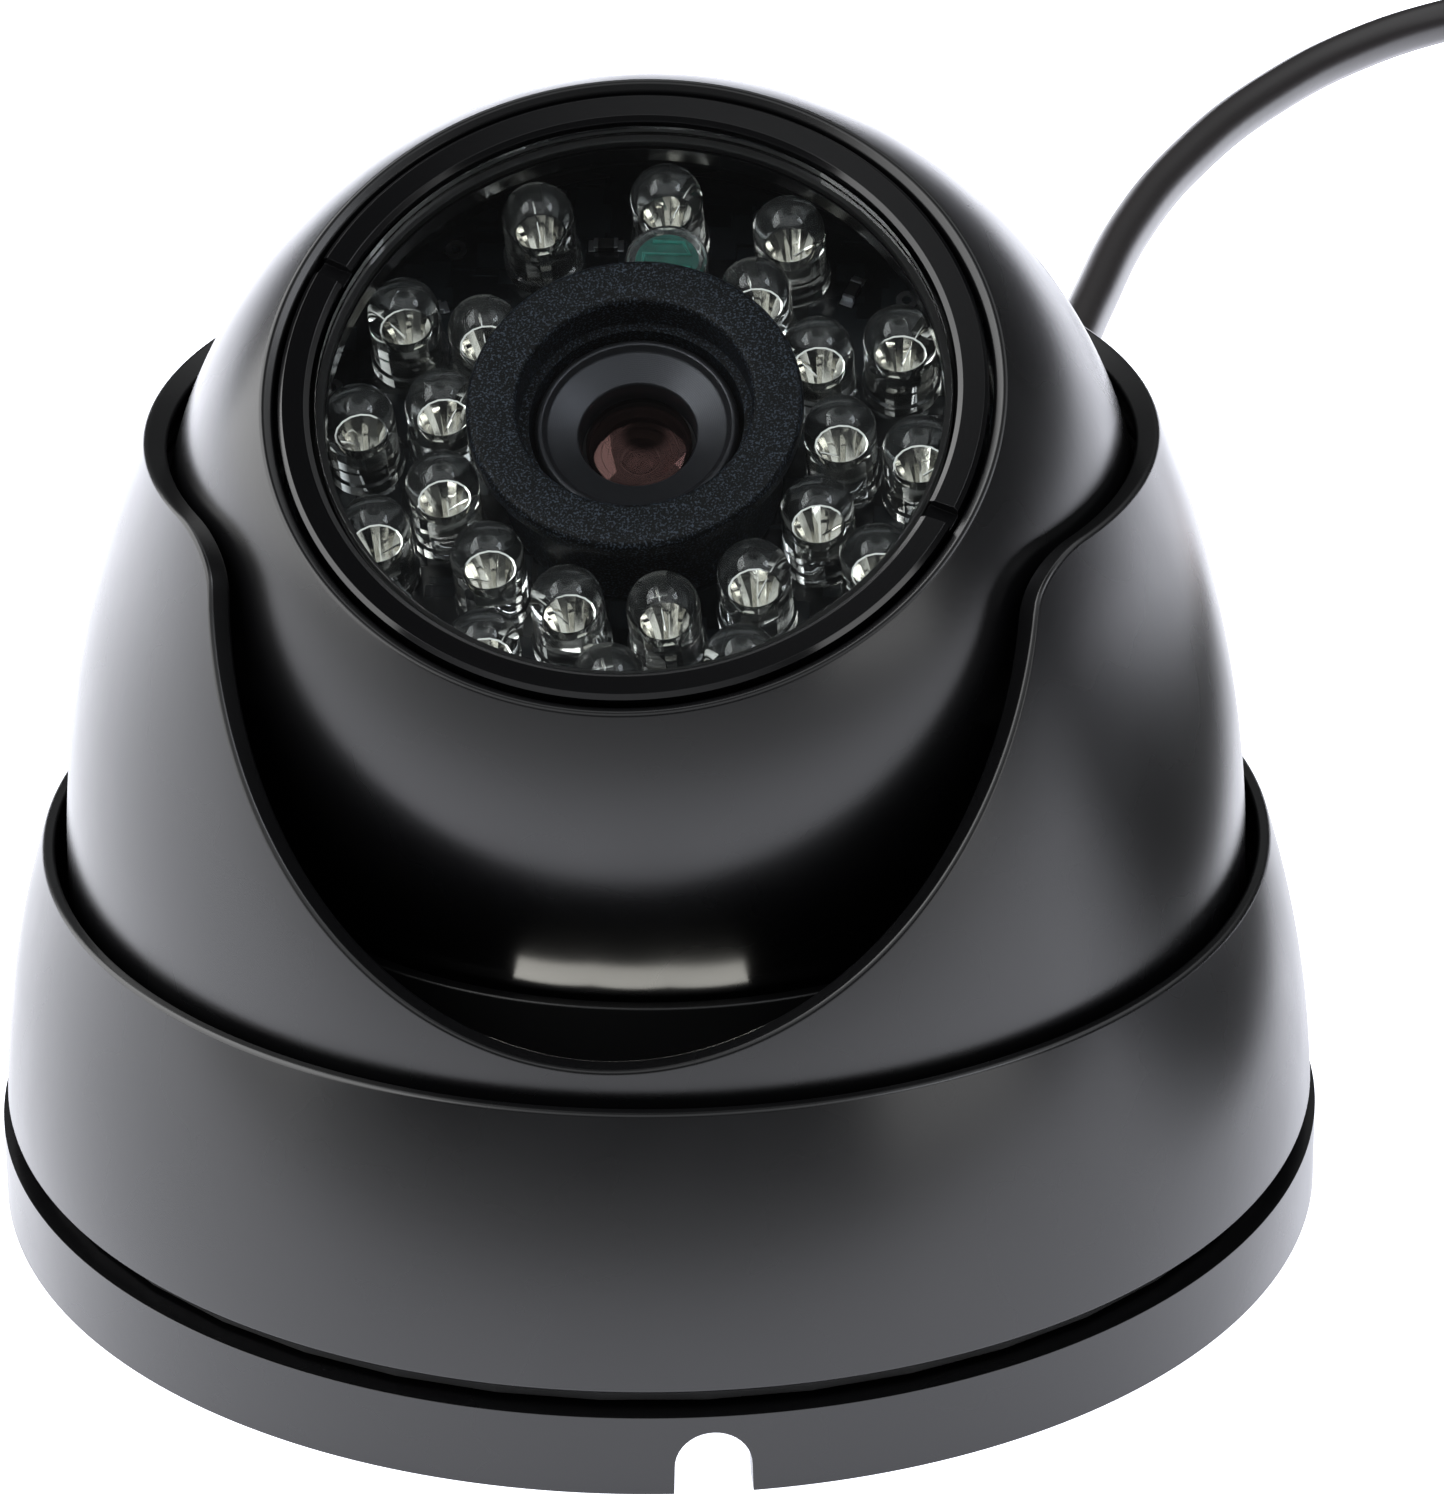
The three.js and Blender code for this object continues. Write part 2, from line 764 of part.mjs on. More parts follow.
// The coiled length as one ring two turns high, cut back where the lead comes in and the tail leaves.
function cableCoil() {
  const half = cableWidth / 2;
  const [inner, outer] = [coilTurnRadius - half, coilTurnRadius + half];
  const round = 1.2;
  const room = cableWidth + 2 * fitGap;
  const ring = turned(
    [
      [inner + round, 0],
      [outer - round, 0],
      [outer, round],
      [outer, coilTop - round],
      [outer - round, coilTop],
      [inner + round, coilTop],
      [inner, coilTop - round],
      [inner, round],
    ],
    28,
  );
  const leadSpace = box(30, room + 6, room, -15, coilTurnRadius - 3, cableHeight);
  const tailSpace = box(room, 30, room, coilTurnRadius, -15, coilTop - cableHeight);
  return cut(ring, leadSpace, tailSpace).translate(coilX, coilY, 0);
}

// A thin band pressed over the coil's two turns.
function cableTie() {
  const width = 3;
  const band = 0.8;
  const room = cableWidth + 2 * fitGap;
  const height = coilTop + fitGap;
  const outside = box(room + 2 * band, width, height + band, 0, 0, (height + band) / 2);
  const inside = box(room, width + 2, height + 2, 0, 0, height / 2 - 1);
  const strap = cut(outside, inside).translate(coilTurnRadius, 0, 0);
  return strap.rotateZ(radians(tieTurn)).translate(coilX, coilY, 0);
}

// The moulded block where the cable splits into the video and power leads.
function cableSplit() {
  const outline = new THREE.Shape();
  const [across, along] = [splitWidth / 2, splitLength / 2];
  outline.moveTo(-across, -along);
  outline.lineTo(across, -along);
  outline.lineTo(across, along - 7);
  outline.lineTo(across - 2.4, along);
  outline.lineTo(-across + 2.4, along);
  outline.lineTo(-across, along - 7);
  outline.closePath();
  const block = new THREE.ExtrudeGeometry(outline, { depth: splitHeight, bevelEnabled: false });
  return block.translate(splitX, splitY, 0);
}

// A lead from the split to the back of its connector.
function leadTo(side, x, y, height) {
  const startY = splitY - splitLength / 2 - fitGap;
  const startX = splitX + side * leadSpread;
  const mouth = [x, y + fitGap, height];
  return sweep(
    [
      [startX, startY, splitHeight / 2],
      [startX + side * 0.2, startY - 6, splitHeight / 2 - 1],
      [(startX * 2 + x) / 3, (startY * 2 + y) / 3, leadHeight],
      [(startX + x * 2) / 3, (startY + y * 2) / 3, leadHeight + (height - leadHeight) * 0.15],
      [x, y + 9, height - 0.7],
      mouth,
    ],
    leadWidth,
    9,
  );
}

// The twist-lock video connector: boot, ridged collar and socket with two locking pegs.
function videoConnector() {
  const boot = 3.2;
  const body = turned(
    [
      [0, 0],
      [boot, 0],
      [boot + 1, 8],
      [videoRadius - 1.6, 8],
      [videoRadius - 1.6, 10],
      [videoRadius, 10],
      [videoRadius, 19],
      [videoRadius - 1.2, 19],
      [videoRadius - 1.2, videoLength],
      [videoRadius - 2.2, videoLength],
      [videoRadius - 2.2, 21],
      [1.6, 21],
      [1.6, videoLength - 2],
      [0, videoLength - 2],
    ],
    16,
  );
  const peg = cylinder(1, 0, videoRadius + 0.1, 10);
  const pegs = [90, -90].map((turn) => peg.clone().rotateY(radians(turn)).translate(0, 0, videoLength - 4));
  const room = cylinder(videoRadius - 2.3, 21.2, videoLength + 1, 16);
  const core = cylinder(1.6, 20, videoLength - 2, 16);
  const joined = join(cut(join(body, ...pegs), room), core);
  return joined.rotateX(Math.PI / 2).translate(videoX, videoY, videoRadius);
}

// The power socket: a barrel with an open mouth and a pin on its axis.
function powerConnector() {
  const mouth = 3;
  const depth = 9;
  const body = turned(
    [
      [0, 0],
      [2.6, 0],
      [powerRadius, 9],
      [powerRadius, powerLength],
      [mouth, powerLength],
      [mouth, powerLength - depth],
      [0.9, powerLength - depth],
      [0.9, powerLength - 1],
      [0, powerLength - 1],
    ],
    16,
  );
  return body.rotateX(Math.PI / 2).translate(powerX, powerY, powerRadius);
}

// Assembly
const assembly = new THREE.Group();
assembly.name = "dome_camera";

const base = new THREE.Group();
base.name = "base_group";
base.add(part("base_plate", basePlate(), "blackPaint"));
base.add(part("ring_seal", tube(45.2, collarRadius + 0.4, flangeHeight + fitGap, 7.2, roundSides), "rubber"));
const washerTop = washerBottom + washerThickness;
const washer = tube(collarRadius - 0.2, collarRadius - 2.7, washerBottom, washerTop, roundSides);
base.add(part("pan_washer", washer, "nylon"));
base.add(part("strain_relief", strainRelief(), "rubber"));
assembly.add(base);

const ring = new THREE.Group();
ring.name = "locking_ring_group";
ring.add(part("locking_ring", lockingRing(), "blackPaint"));
assembly.add(ring);

const turret = new THREE.Group();
turret.name = "housing_group";
turret.add(part("housing", housing(), "blackPaint"));
turret.add(part("ball_cradle", ballCradle(), "blackPlastic"));
turret.add(part("ball_liner", ballLiner(), "blackPlastic"));
forEachCradleScrew((x, y, i) => {
  const headHeight = 1.6;
  const screw = panHeadScrew(cradleScrewRadius, cradleScrewHead, headHeight, cradleScrewLength);
  const placed = part("cradle_screw_" + (i + 1), screw, "steel");
  placed.position.set(x, y, cradleBottom - fitGap - headHeight);
  turret.add(placed);
});
assembly.add(turret);

const ball = new THREE.Group();
ball.name = "ball_group";
ball.position.set(0, 0, ballCentre);
ball.rotation.x = radians(ballTilt);
ball.add(part("ball_front_shell", ballFrontShell(), "blackPaint"));
ball.add(part("ball_rear_shell", ballRearShell(), "blackPaint"));
ball.add(part("shell_seal", shellSeal(), "rubber"));
ball.add(part("rear_cable_bush", rearCableBush(), "rubber"));
ball.add(part("bezel_ring", bezelRing(), "blackGloss"));
ball.add(part("window_gasket", windowGasket(), "rubber"));
ball.add(part("window_glass", windowGlass(), "glass"));
ball.add(part("lamp_board", lampBoard(), "board"));
lampPlaces().forEach(([turn, distance], i) => {
  const placed = part("lamp_" + String(i + 1).padStart(2, "0"), lamp(), "clear");
  placed.position.set(distance * Math.cos(radians(turn)), distance * Math.sin(radians(turn)), lampBottom);
  ball.add(placed);
});
const sensor = part("photocell", photocell(), "element");
sensor.position.set(
  innerLampCircle * Math.cos(radians(photocellTurn)),
  innerLampCircle * Math.sin(radians(photocellTurn)),
  boardTop,
);
ball.add(sensor);
ball.add(part("lens_shroud", lensShroud(), "blackPlastic"));
ball.add(part("lens_holder", lensHolder(), "blackPlastic"));
ball.add(part("sensor_board", sensorBoard(), "board"));
ball.add(part("image_sensor", box(chipSide, chipSide, 1, 0, 0, sensorBoardTop + fitGap + 0.5), "board"));
[1, -1].forEach((side, i) => {
  const spacer = cylinder(spacerRadius, sensorBoardTop + fitGap, boardBottom - fitGap, 12);
  const placed = part("board_spacer_" + (i + 1), spacer, "nylon");
  placed.position.set(side * spacerPlace, side * spacerPlace, 0);
  ball.add(placed);
});
const lens = new THREE.Group();
lens.name = "lens_group";
lens.add(part("lens_barrel", lensBarrel(), "blackPlastic"));
lens.add(part("lens_front_element", lensFrontElement(), "element"));
ball.add(lens);
assembly.add(ball);

const cord = new THREE.Group();
cord.name = "cable_group";
cord.add(part("camera_cable", sweep(cableRoute, cableWidth, 42), "cable"));
cord.add(part("cable_coil", cableCoil(), "cable"));
cord.add(part("cable_tie", cableTie(), "blackPlastic"));
cord.add(part("cable_tail", sweep(tailRoute, cableWidth, 5), "cable"));
cord.add(part("cable_split", cableSplit(), "blackPlastic"));
cord.add(part("video_lead", leadTo(1, videoX, videoY, videoRadius), "yellow"));
cord.add(part("video_connector", videoConnector(), "steel"));
cord.add(part("power_lead", leadTo(-1, powerX, powerY, powerRadius), "red"));
cord.add(part("power_connector", powerConnector(), "blackPlastic"));
assembly.add(cord);

export default assembly;
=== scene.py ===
# Dome security camera: painted metal base, locking ring and scooped housing, with a ball head
# whose flat window covers a ring of infrared lamps and a small lens. Its cable lies behind it.
from math import atan2, cos, degrees, pi, radians, sin, sqrt

import bmesh
import bpy
from mathutils import Matrix, Vector


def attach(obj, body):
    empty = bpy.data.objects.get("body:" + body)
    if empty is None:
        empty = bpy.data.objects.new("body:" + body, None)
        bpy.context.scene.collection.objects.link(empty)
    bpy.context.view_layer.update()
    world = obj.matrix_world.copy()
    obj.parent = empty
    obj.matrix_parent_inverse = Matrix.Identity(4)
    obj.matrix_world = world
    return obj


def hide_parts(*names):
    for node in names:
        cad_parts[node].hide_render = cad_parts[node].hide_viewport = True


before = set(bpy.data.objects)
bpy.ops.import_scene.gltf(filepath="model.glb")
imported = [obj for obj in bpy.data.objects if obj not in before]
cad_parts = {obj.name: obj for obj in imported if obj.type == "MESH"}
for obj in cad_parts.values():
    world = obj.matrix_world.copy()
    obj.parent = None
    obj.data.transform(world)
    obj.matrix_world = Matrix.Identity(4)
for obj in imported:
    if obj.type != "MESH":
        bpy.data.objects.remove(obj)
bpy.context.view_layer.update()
mm = 0.001
scene = bpy.context.scene

# the ball's own frame has its origin at the ball's centre and +Z along the lens axis
ballCentre = 46.6
ballTilt = 34.8
ballPlace = Matrix.Translation((0, 0, ballCentre * mm)) @ Matrix.Rotation(radians(ballTilt), 4, "X")
upright = Matrix.Identity(4)


# small helpers

def linear(code):
    parts = [int(code[i:i + 2], 16) / 255 for i in (1, 3, 5)]
    return [c / 12.92 if c <= 0.04045 else ((c + 0.055) / 1.055) ** 2.4 for c in parts] + [1.0]


def addNode(tree, kind, inputs=None, **settings):
    node = tree.nodes.new("ShaderNode" + kind)
    for name, value in settings.items():
        setattr(node, name, value)
    for socket, value in (inputs or {}).items():
        if isinstance(value, bpy.types.NodeSocket):
            tree.links.new(value, node.inputs[socket])
        else:
            node.inputs[socket].default_value = value
    return node


def newMaterial(name, colour, values=None):
    material = bpy.data.materials.new(name)
    material.use_nodes = True
    shader = material.node_tree.nodes["Principled BSDF"]
    shader.inputs["Base Color"].default_value = linear(colour)
    for socket, value in (values or {}).items():
        shader.inputs[socket].default_value = value
    return material, material.node_tree, shader


def atPlace(x, y, z=0, turn=0, inside=upright):
    return inside @ Matrix.Translation((x * mm, y * mm, z * mm)) @ Matrix.Rotation(radians(turn), 4, "Z")


def arcPoints(radius, start, end, steps, middle=(0, 0)):
    angles = [radians(start + (end - start) * i / steps) for i in range(steps + 1)]
    return [(middle[0] + radius * cos(a), middle[1] + radius * sin(a)) for a in angles]


def onSphere(radius, across):
    return sqrt(radius * radius - across * across)


def bevelEdges(piece, width, sharp):
    edge = piece.modifiers.new("edge", "BEVEL")
    edge.width = width * mm
    edge.segments = 3
    edge.limit_method = "ANGLE"
    edge.angle_limit = radians(sharp)
    edge.harden_normals = True
    edge.use_clamp_overlap = True


# turns a bmesh in mm into a finished piece in metres that rides on a body
def makePiece(bm, name, body, material, place=upright, bevel=0, replaces=(), sharp=32):
    bmesh.ops.remove_doubles(bm, verts=bm.verts, dist=1e-4)
    bmesh.ops.recalc_face_normals(bm, faces=bm.faces)
    bmesh.ops.scale(bm, vec=(mm, mm, mm), verts=bm.verts)
    bmesh.ops.transform(bm, matrix=place, verts=bm.verts)
    mesh = bpy.data.meshes.new(name)
    bm.to_mesh(mesh)
    bm.free()
    mesh.shade_smooth()
    piece = bpy.data.objects.new(name, mesh)
    scene.collection.objects.link(piece)
    if bevel:
        bevelEdges(piece, bevel, sharp)
    else:
        mesh.set_sharp_from_angle(angle=radians(sharp))
    mesh.materials.append(material)
    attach(piece, body)
    if replaces:
        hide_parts(*replaces)
    return piece


# a profile of (radius, height) turned once about Z; it is a loop unless both its ends are on the axis
def turnedMesh(profile, steps=160, bm=None):
    bm = bm or bmesh.new()
    verts = [bm.verts.new((r, 0, z)) for r, z in profile]
    pairs = list(zip(verts, verts[1:]))
    if not (profile[0][0] == 0 and profile[-1][0] == 0):
        pairs.append((verts[-1], verts[0]))
    edges = [bm.edges.new(pair) for pair in pairs]
    bmesh.ops.spin(bm, geom=verts + edges, cent=(0, 0, 0), axis=(0, 0, 1), angle=2 * pi,
                   steps=steps, use_merge=True)
    bmesh.ops.remove_doubles(bm, verts=bm.verts, dist=1e-4)
    return bm


def addBox(bm, size, centre, turn=None):
    made = bmesh.ops.create_cube(bm, size=1)["verts"]
    bmesh.ops.scale(bm, vec=size, verts=made)
    bmesh.ops.translate(bm, vec=centre, verts=made)
    if turn is not None:
        bmesh.ops.transform(bm, matrix=turn, verts=made)
    return made


def addCone(bm, low, high, radiusLow, radiusHigh, sides=24, at=(0, 0)):
    made = bmesh.ops.create_cone(bm, cap_ends=True, segments=sides, radius1=radiusLow, radius2=radiusHigh,
                                 depth=high - low)["verts"]
    bmesh.ops.translate(bm, vec=(at[0], at[1], (low + high) / 2), verts=made)
    return made


# moves a finished bmesh into another one
def addInto(bm, part):
    mesh = bpy.data.meshes.new("part")
    part.to_mesh(mesh)
    part.free()
    bm.from_mesh(mesh)
    bpy.data.meshes.remove(mesh)


# takes cutters away from a bmesh in mm, and gives the result as a new bmesh
def cutAway(bm, *cutters):
    holders = []
    for source in (bm, *cutters):
        bmesh.ops.recalc_face_normals(source, faces=source.faces)
        mesh = bpy.data.meshes.new("cutting")
        source.to_mesh(mesh)
        source.free()
        holders.append(bpy.data.objects.new("cutting", mesh))
        scene.collection.objects.link(holders[-1])
    for holder in holders[1:]:
        cut = holders[0].modifiers.new("cut", "BOOLEAN")
        cut.object = holder
        cut.solver = "EXACT"
    shaped = holders[0].evaluated_get(bpy.context.evaluated_depsgraph_get()).to_mesh()
    result = bmesh.new()
    result.from_mesh(shaped)
    for holder in holders:
        spent = holder.data
        bpy.data.objects.remove(holder)
        bpy.data.meshes.remove(spent)
    return result


# camera

def makeCamera():
    view = {"place": (46.7, -497.86, 275.25), "towards": (-0.07563, 0.89638, -0.43678),
            "up": (-0.02870, 0.43589, 0.89954), "lens": 189.48}
    data = bpy.data.cameras.new("camera")
    data.lens = view["lens"]
    data.sensor_width = 36
    data.clip_start, data.clip_end = 0.01, 20
    camera = bpy.data.objects.new("camera", data)
    back = -Vector(view["towards"]).normalized()
    right = Vector(view["up"]).cross(back).normalized()
    turn = Matrix((right, back.cross(right), back)).transposed().to_4x4()
    camera.matrix_world = Matrix.Translation(Vector(view["place"]) * mm) @ turn
    scene.collection.objects.link(camera)
    scene.camera = camera


makeCamera()


# materials

# fine waviness of a sprayed or moulded surface, given as the size of its bumps and their depth in mm
def addGrain(tree, shader, size, depth):
    where = addNode(tree, "TexCoord")
    noise = addNode(tree, "TexNoise", {"Vector": where.outputs["Object"], "Scale": 1 / (size * mm),
                                       "Detail": 2.0, "Roughness": 0.5})
    bump = addNode(tree, "Bump", {"Height": noise.outputs["Fac"], "Distance": depth * mm, "Strength": 1.0})
    tree.links.new(bump.outputs["Normal"], shader.inputs["Normal"])
    return where, noise


def setStops(ramp, lowPlace, lowColour, highPlace, highColour):
    for stop, place, colour in zip(ramp.color_ramp.elements, (lowPlace, highPlace), (lowColour, highColour)):
        stop.position = place
        stop.color = linear(colour)


# a finish that is one colour with its fine grain
def makeFinish(name, colour, size, depth, values):
    material, tree, shader = newMaterial(name, colour, values)
    addGrain(tree, shader, size, depth)
    return material


# satin black powder coat on die-cast metal: deep black, wide soft highlights, slight orange peel
def satinBlackPowderCoat():
    values = {"colour": "#060607", "roughLow": 0.24, "roughHigh": 0.31, "patch": 14, "peel": 0.7,
              "peelDepth": 0.0035}
    material, tree, shader = newMaterial("satinBlackPowderCoat", values["colour"], {"IOR": 1.5})
    where, _ = addGrain(tree, shader, values["peel"], values["peelDepth"])
    cloud = addNode(tree, "TexNoise", {"Vector": where.outputs["Object"], "Scale": 1 / (values["patch"] * mm),
                                       "Detail": 3.0})
    rough = addNode(tree, "MapRange", {"Value": cloud.outputs["Fac"], "From Min": 0.3, "From Max": 0.7,
                                       "To Min": values["roughLow"], "To Max": values["roughHigh"]})
    tree.links.new(rough.outputs["Result"], shader.inputs["Roughness"])
    return material


# spark-eroded moulded ABS: fine grains on a near-black ground, their tops painted blue-grey in the base
# colour as painted glints of light, drawn a little coarser than real so that they show
def erodedBlackAbs():
    values = {"ground": "#030304", "paintedGrainGlint": "#4a5562", "size": 0.15, "depth": 0.03, "rough": 0.5,
              "shine": 0.22}
    material, tree, shader = newMaterial("erodedBlackAbs", values["ground"],
                                         {"IOR": 1.53, "Roughness": values["rough"],
                                          "Specular IOR Level": values["shine"]})
    _, noise = addGrain(tree, shader, values["size"], values["depth"])
    # painted highlight: the noise tops turn blue-grey in the base colour, standing in for grains catching
    # light
    ramp = addNode(tree, "ValToRGB", {"Fac": noise.outputs["Fac"]})
    setStops(ramp, 0.52, values["ground"], 0.68, values["paintedGrainGlint"])
    tree.links.new(ramp.outputs["Color"], shader.inputs["Base Color"])
    return material


# black anodised turned aluminium inside the lens: grey sheen in fine rings
def blackAnodisedAluminium():
    values = {"colour": "#424347", "rough": 0.36, "pitch": 0.12, "depth": 0.004}
    material, tree, shader = newMaterial("blackAnodisedAluminium", values["colour"],
                                         {"Metallic": 0.75, "Roughness": values["rough"]})
    tilt = radians(ballTilt)
    centre = (0, -ballCentre * mm * sin(tilt), -ballCentre * mm * cos(tilt))
    where = addNode(tree, "TexCoord")
    centred = addNode(tree, "Mapping", {"Vector": where.outputs["Object"], "Location": centre,
                                        "Rotation": (-tilt, 0, 0)})
    rings = addNode(tree, "TexWave", {"Vector": centred.outputs["Vector"],
                                      "Scale": pi / 10 / (values["pitch"] * mm)},
                    wave_type="RINGS", rings_direction="Z")
    bump = addNode(tree, "Bump", {"Height": rings.outputs["Fac"], "Distance": values["depth"] * mm,
                                  "Strength": 0.5})
    tree.links.new(bump.outputs["Normal"], shader.inputs["Normal"])
    return material


# thin glass: what is behind it shows clearly, with a tinted mirror of the room over it
def thinGlass(name, through, mirror, index):
    material, tree, shader = newMaterial(name, through)
    clear = addNode(tree, "BsdfTransparent", {"Color": linear(through)})
    gloss = addNode(tree, "BsdfGlossy", {"Color": linear(mirror), "Roughness": 0.02})
    facing = addNode(tree, "Fresnel", {"IOR": index})
    mixed = addNode(tree, "MixShader", {0: facing.outputs["Fac"], 1: clear.outputs["BSDF"],
                                        2: gloss.outputs["BSDF"]})
    tree.links.new(mixed.outputs["Shader"], tree.nodes["Material Output"].inputs["Surface"])
    tree.nodes.remove(shader)
    return material


# black solder mask over copper: glossy, the tracks just showing as a faint relief
def blackSolderMask():
    values = {"colour": "#16181a", "track": "#23272a", "rough": 0.22, "spacing": 2.6, "relief": 0.03}
    material, tree, shader = newMaterial("blackSolderMask", values["colour"],
                                         {"Roughness": values["rough"], "IOR": 1.5})
    where = addNode(tree, "TexCoord")
    cells = addNode(tree, "TexVoronoi", {"Vector": where.outputs["Object"],
                                         "Scale": 1 / (values["spacing"] * mm)},
                    distance="CHEBYCHEV", feature="F1")
    ramp = addNode(tree, "ValToRGB", {"Fac": cells.outputs["Distance"]})
    setStops(ramp, 0.35, values["track"], 0.42, values["colour"])
    tree.links.new(ramp.outputs["Color"], shader.inputs["Base Color"])
    bump = addNode(tree, "Bump", {"Height": ramp.outputs["Color"], "Distance": values["relief"] * mm,
                                  "Strength": 0.6})
    tree.links.new(bump.outputs["Normal"], shader.inputs["Normal"])
    return material


# light-sensitive teal ceramic under a clear cap, a little cloudy in tone
def tealCeramic(name, dark, light):
    material, tree, shader = newMaterial(name, dark, {"Roughness": 0.3, "IOR": 1.5})
    where, _ = addGrain(tree, shader, 0.2, 0.006)
    patches = addNode(tree, "TexNoise", {"Vector": where.outputs["Object"], "Scale": 1 / (0.9 * mm)})
    ramp = addNode(tree, "ValToRGB", {"Fac": patches.outputs["Fac"]})
    setStops(ramp, 0.35, dark, 0.68, light)
    tree.links.new(ramp.outputs["Color"], shader.inputs["Base Color"])
    return material


finishes = {
    "paint": satinBlackPowderCoat(),
    "grained": erodedBlackAbs(),
    "anodised": blackAnodisedAluminium(),
    "mask": blackSolderMask(),
    "teal": tealCeramic("tealTrack", "#2aa08e", "#43c4b0"),
    "deepTeal": tealCeramic("tealCeramic", "#0f6a5f", "#1a8577"),
    # polished flat window, almost colourless
    "window": thinGlass("clearWindow", "#fcfdfd", "#ffffff", 1.35),
    # coated lens glass that shows what is under it, with a faint plum mirror
    "front": thinGlass("frontGlass", "#d8cbc6", "#b98d88", 1.7),
    # multi-coated inner lens: nearly black, with a plum mirror
    "lens": makeFinish("coatedGlass", "#16100f", 3.0, 0.0004,
                       {"Roughness": 0.03, "IOR": 1.62, "Coat Weight": 0.6, "Coat Roughness": 0.02,
                        "Specular Tint": linear("#d9a9b4")}),
    # gloss black stoved enamel on a turned ring: sharp bright edge lines
    "enamel": makeFinish("glossBlackEnamel", "#060607", 0.9, 0.0012, {"Roughness": 0.13, "IOR": 1.5}),
    # smooth moulded black ABS: a little shinier than the grained kind
    "plastic": makeFinish("smoothBlackAbs", "#070708", 0.5, 0.004, {"Roughness": 0.45, "IOR": 1.53}),
    # nitrile and EPDM rubber: dull, faintly dusty black
    "rubber": makeFinish("blackRubber", "#121212", 0.3, 0.01, {"Roughness": 0.72, "IOR": 1.52}),
    # natural nylon: milky and slightly translucent
    "nylon": makeFinish("naturalNylon", "#d8d4c6", 0.4, 0.004,
                        {"Roughness": 0.45, "IOR": 1.53, "Subsurface Weight": 0.15,
                         "Subsurface Scale": 0.001}),
    # zinc plated steel: bright and slightly cloudy
    "zinc": makeFinish("zincPlatedSteel", "#c4c6c8", 0.25, 0.003, {"Metallic": 1.0, "Roughness": 0.28}),
    # bright nickel plate on brass
    "nickel": makeFinish("nickelPlate", "#cfcdc6", 0.5, 0.001, {"Metallic": 1.0, "Roughness": 0.18}),
    # silver plated lead frame inside a lamp: very bright, slightly uneven stamping
    "silver": makeFinish("silverPlate", "#f1efe9", 0.35, 0.006, {"Metallic": 1.0, "Roughness": 0.1}),
    # tinned solder: bright, with soft lumps
    "solder": makeFinish("tinnedSolder", "#b9bcc0", 0.3, 0.02, {"Metallic": 1.0, "Roughness": 0.3}),
    # water-clear cast epoxy
    "epoxy": makeFinish("clearEpoxy", "#f7fbfb", 1.2, 0.002,
                        {"Transmission Weight": 0.975, "Roughness": 0.01, "IOR": 1.5}),
    # dark brown moulded steps inside the lens
    "brown": makeFinish("brownPolycarbonate", "#15110f", 0.2, 0.0005, {"Roughness": 0.45, "IOR": 1.5}),
    # dark silicon chip under its glass lid
    "chip": makeFinish("sensorSilicon", "#1c1f26", 0.5, 0.002, {"Roughness": 0.12, "IOR": 1.5}),
    # extruded PVC sheaths: satin, with a faint waver
    "cable": makeFinish("darkGreyPvc", "#1d1a1a", 1.1, 0.012, {"Roughness": 0.34, "IOR": 1.53}),
    "yellow": makeFinish("yellowPvc", "#c79a12", 1.1, 0.012, {"Roughness": 0.42, "IOR": 1.53}),
    "red": makeFinish("redPvc", "#9a1b17", 1.1, 0.012, {"Roughness": 0.42, "IOR": 1.53}),
}
print("materials made")


# cable, its coil and its two tails

cable = {"width": 4.2, "leadWidth": 3.0, "coilPlace": (88, 217.2), "coilRadius": 23, "turns": 1.25,
         "notchTurn": 9.4, "relief": 34.3, "tieTurn": 45}
split = {"place": (113.5, 184), "length": 20, "width": 12, "height": 7, "spread": 3.2,
         "taper": 7}
video = {"place": (124, 118), "radius": 7.25, "length": 30}
power = {"place": (104, 128), "radius": 5, "length": 28}


def alongNotch(distance):
    turn = radians(cable["notchTurn"])
    return -distance * sin(turn), distance * cos(turn)


def cableRoute():
    low = cable["width"] / 2
    return [
        (*alongNotch(cable["relief"]), 3.4),
        (*alongNotch(38), 3.1),
        (*alongNotch(41.5), 2.4),
        (*alongNotch(44.6), low),
        (*alongNotch(50), low),
        (-9.4, 63, low), (-7, 75, low), (-1.4, 86.5, low), (6, 97.8, low), (13, 109.5, low), (18.4, 122, low),
        (21.8, 134.5, low), (23.7, 146, low), (25.1, 156.3, low), (27.9, 174.1, low), (32.4, 190.8, low),
        (39.9, 208.6, low), (49.2, 222.7, low), (57.6, 230.6, low), (65.7, 235.9, low), (74.2, 239.1, low),
        (81, 240, low),
    ]


# clockwise turns that lie on the ground, then climb over their own start and lie on the first turn
def coilRoute():
    stepsPerTurn = 24
    low = cable["width"] / 2
    points = []
    for i in range(int(cable["turns"] * stepsPerTurn) + 1):
        done = i / stepsPerTurn
        climb = min(max((done - 0.62) / 0.36, 0), 1)
        height = low + cable["width"] * (3 * climb ** 2 - 2 * climb ** 3)
        angle = radians(90 - 360 * done)
        points.append((cable["coilPlace"][0] + cable["coilRadius"] * cos(angle),
                       cable["coilPlace"][1] + cable["coilRadius"] * sin(angle), height))
    return points


def tailRoute():
    x, y = cable["coilPlace"][0] + cable["coilRadius"], cable["coilPlace"][1]
    top = 1.5 * cable["width"]
    end = split["place"][1] + split["length"] / 2
    middle, height = split["place"][0], split["height"] / 2
    return [(x + 0.5, y - 7, top - 0.1), (x + 1.8, y - 14, top - 1.1),
            (middle, end + 3, height), (middle, end - 1, height)]


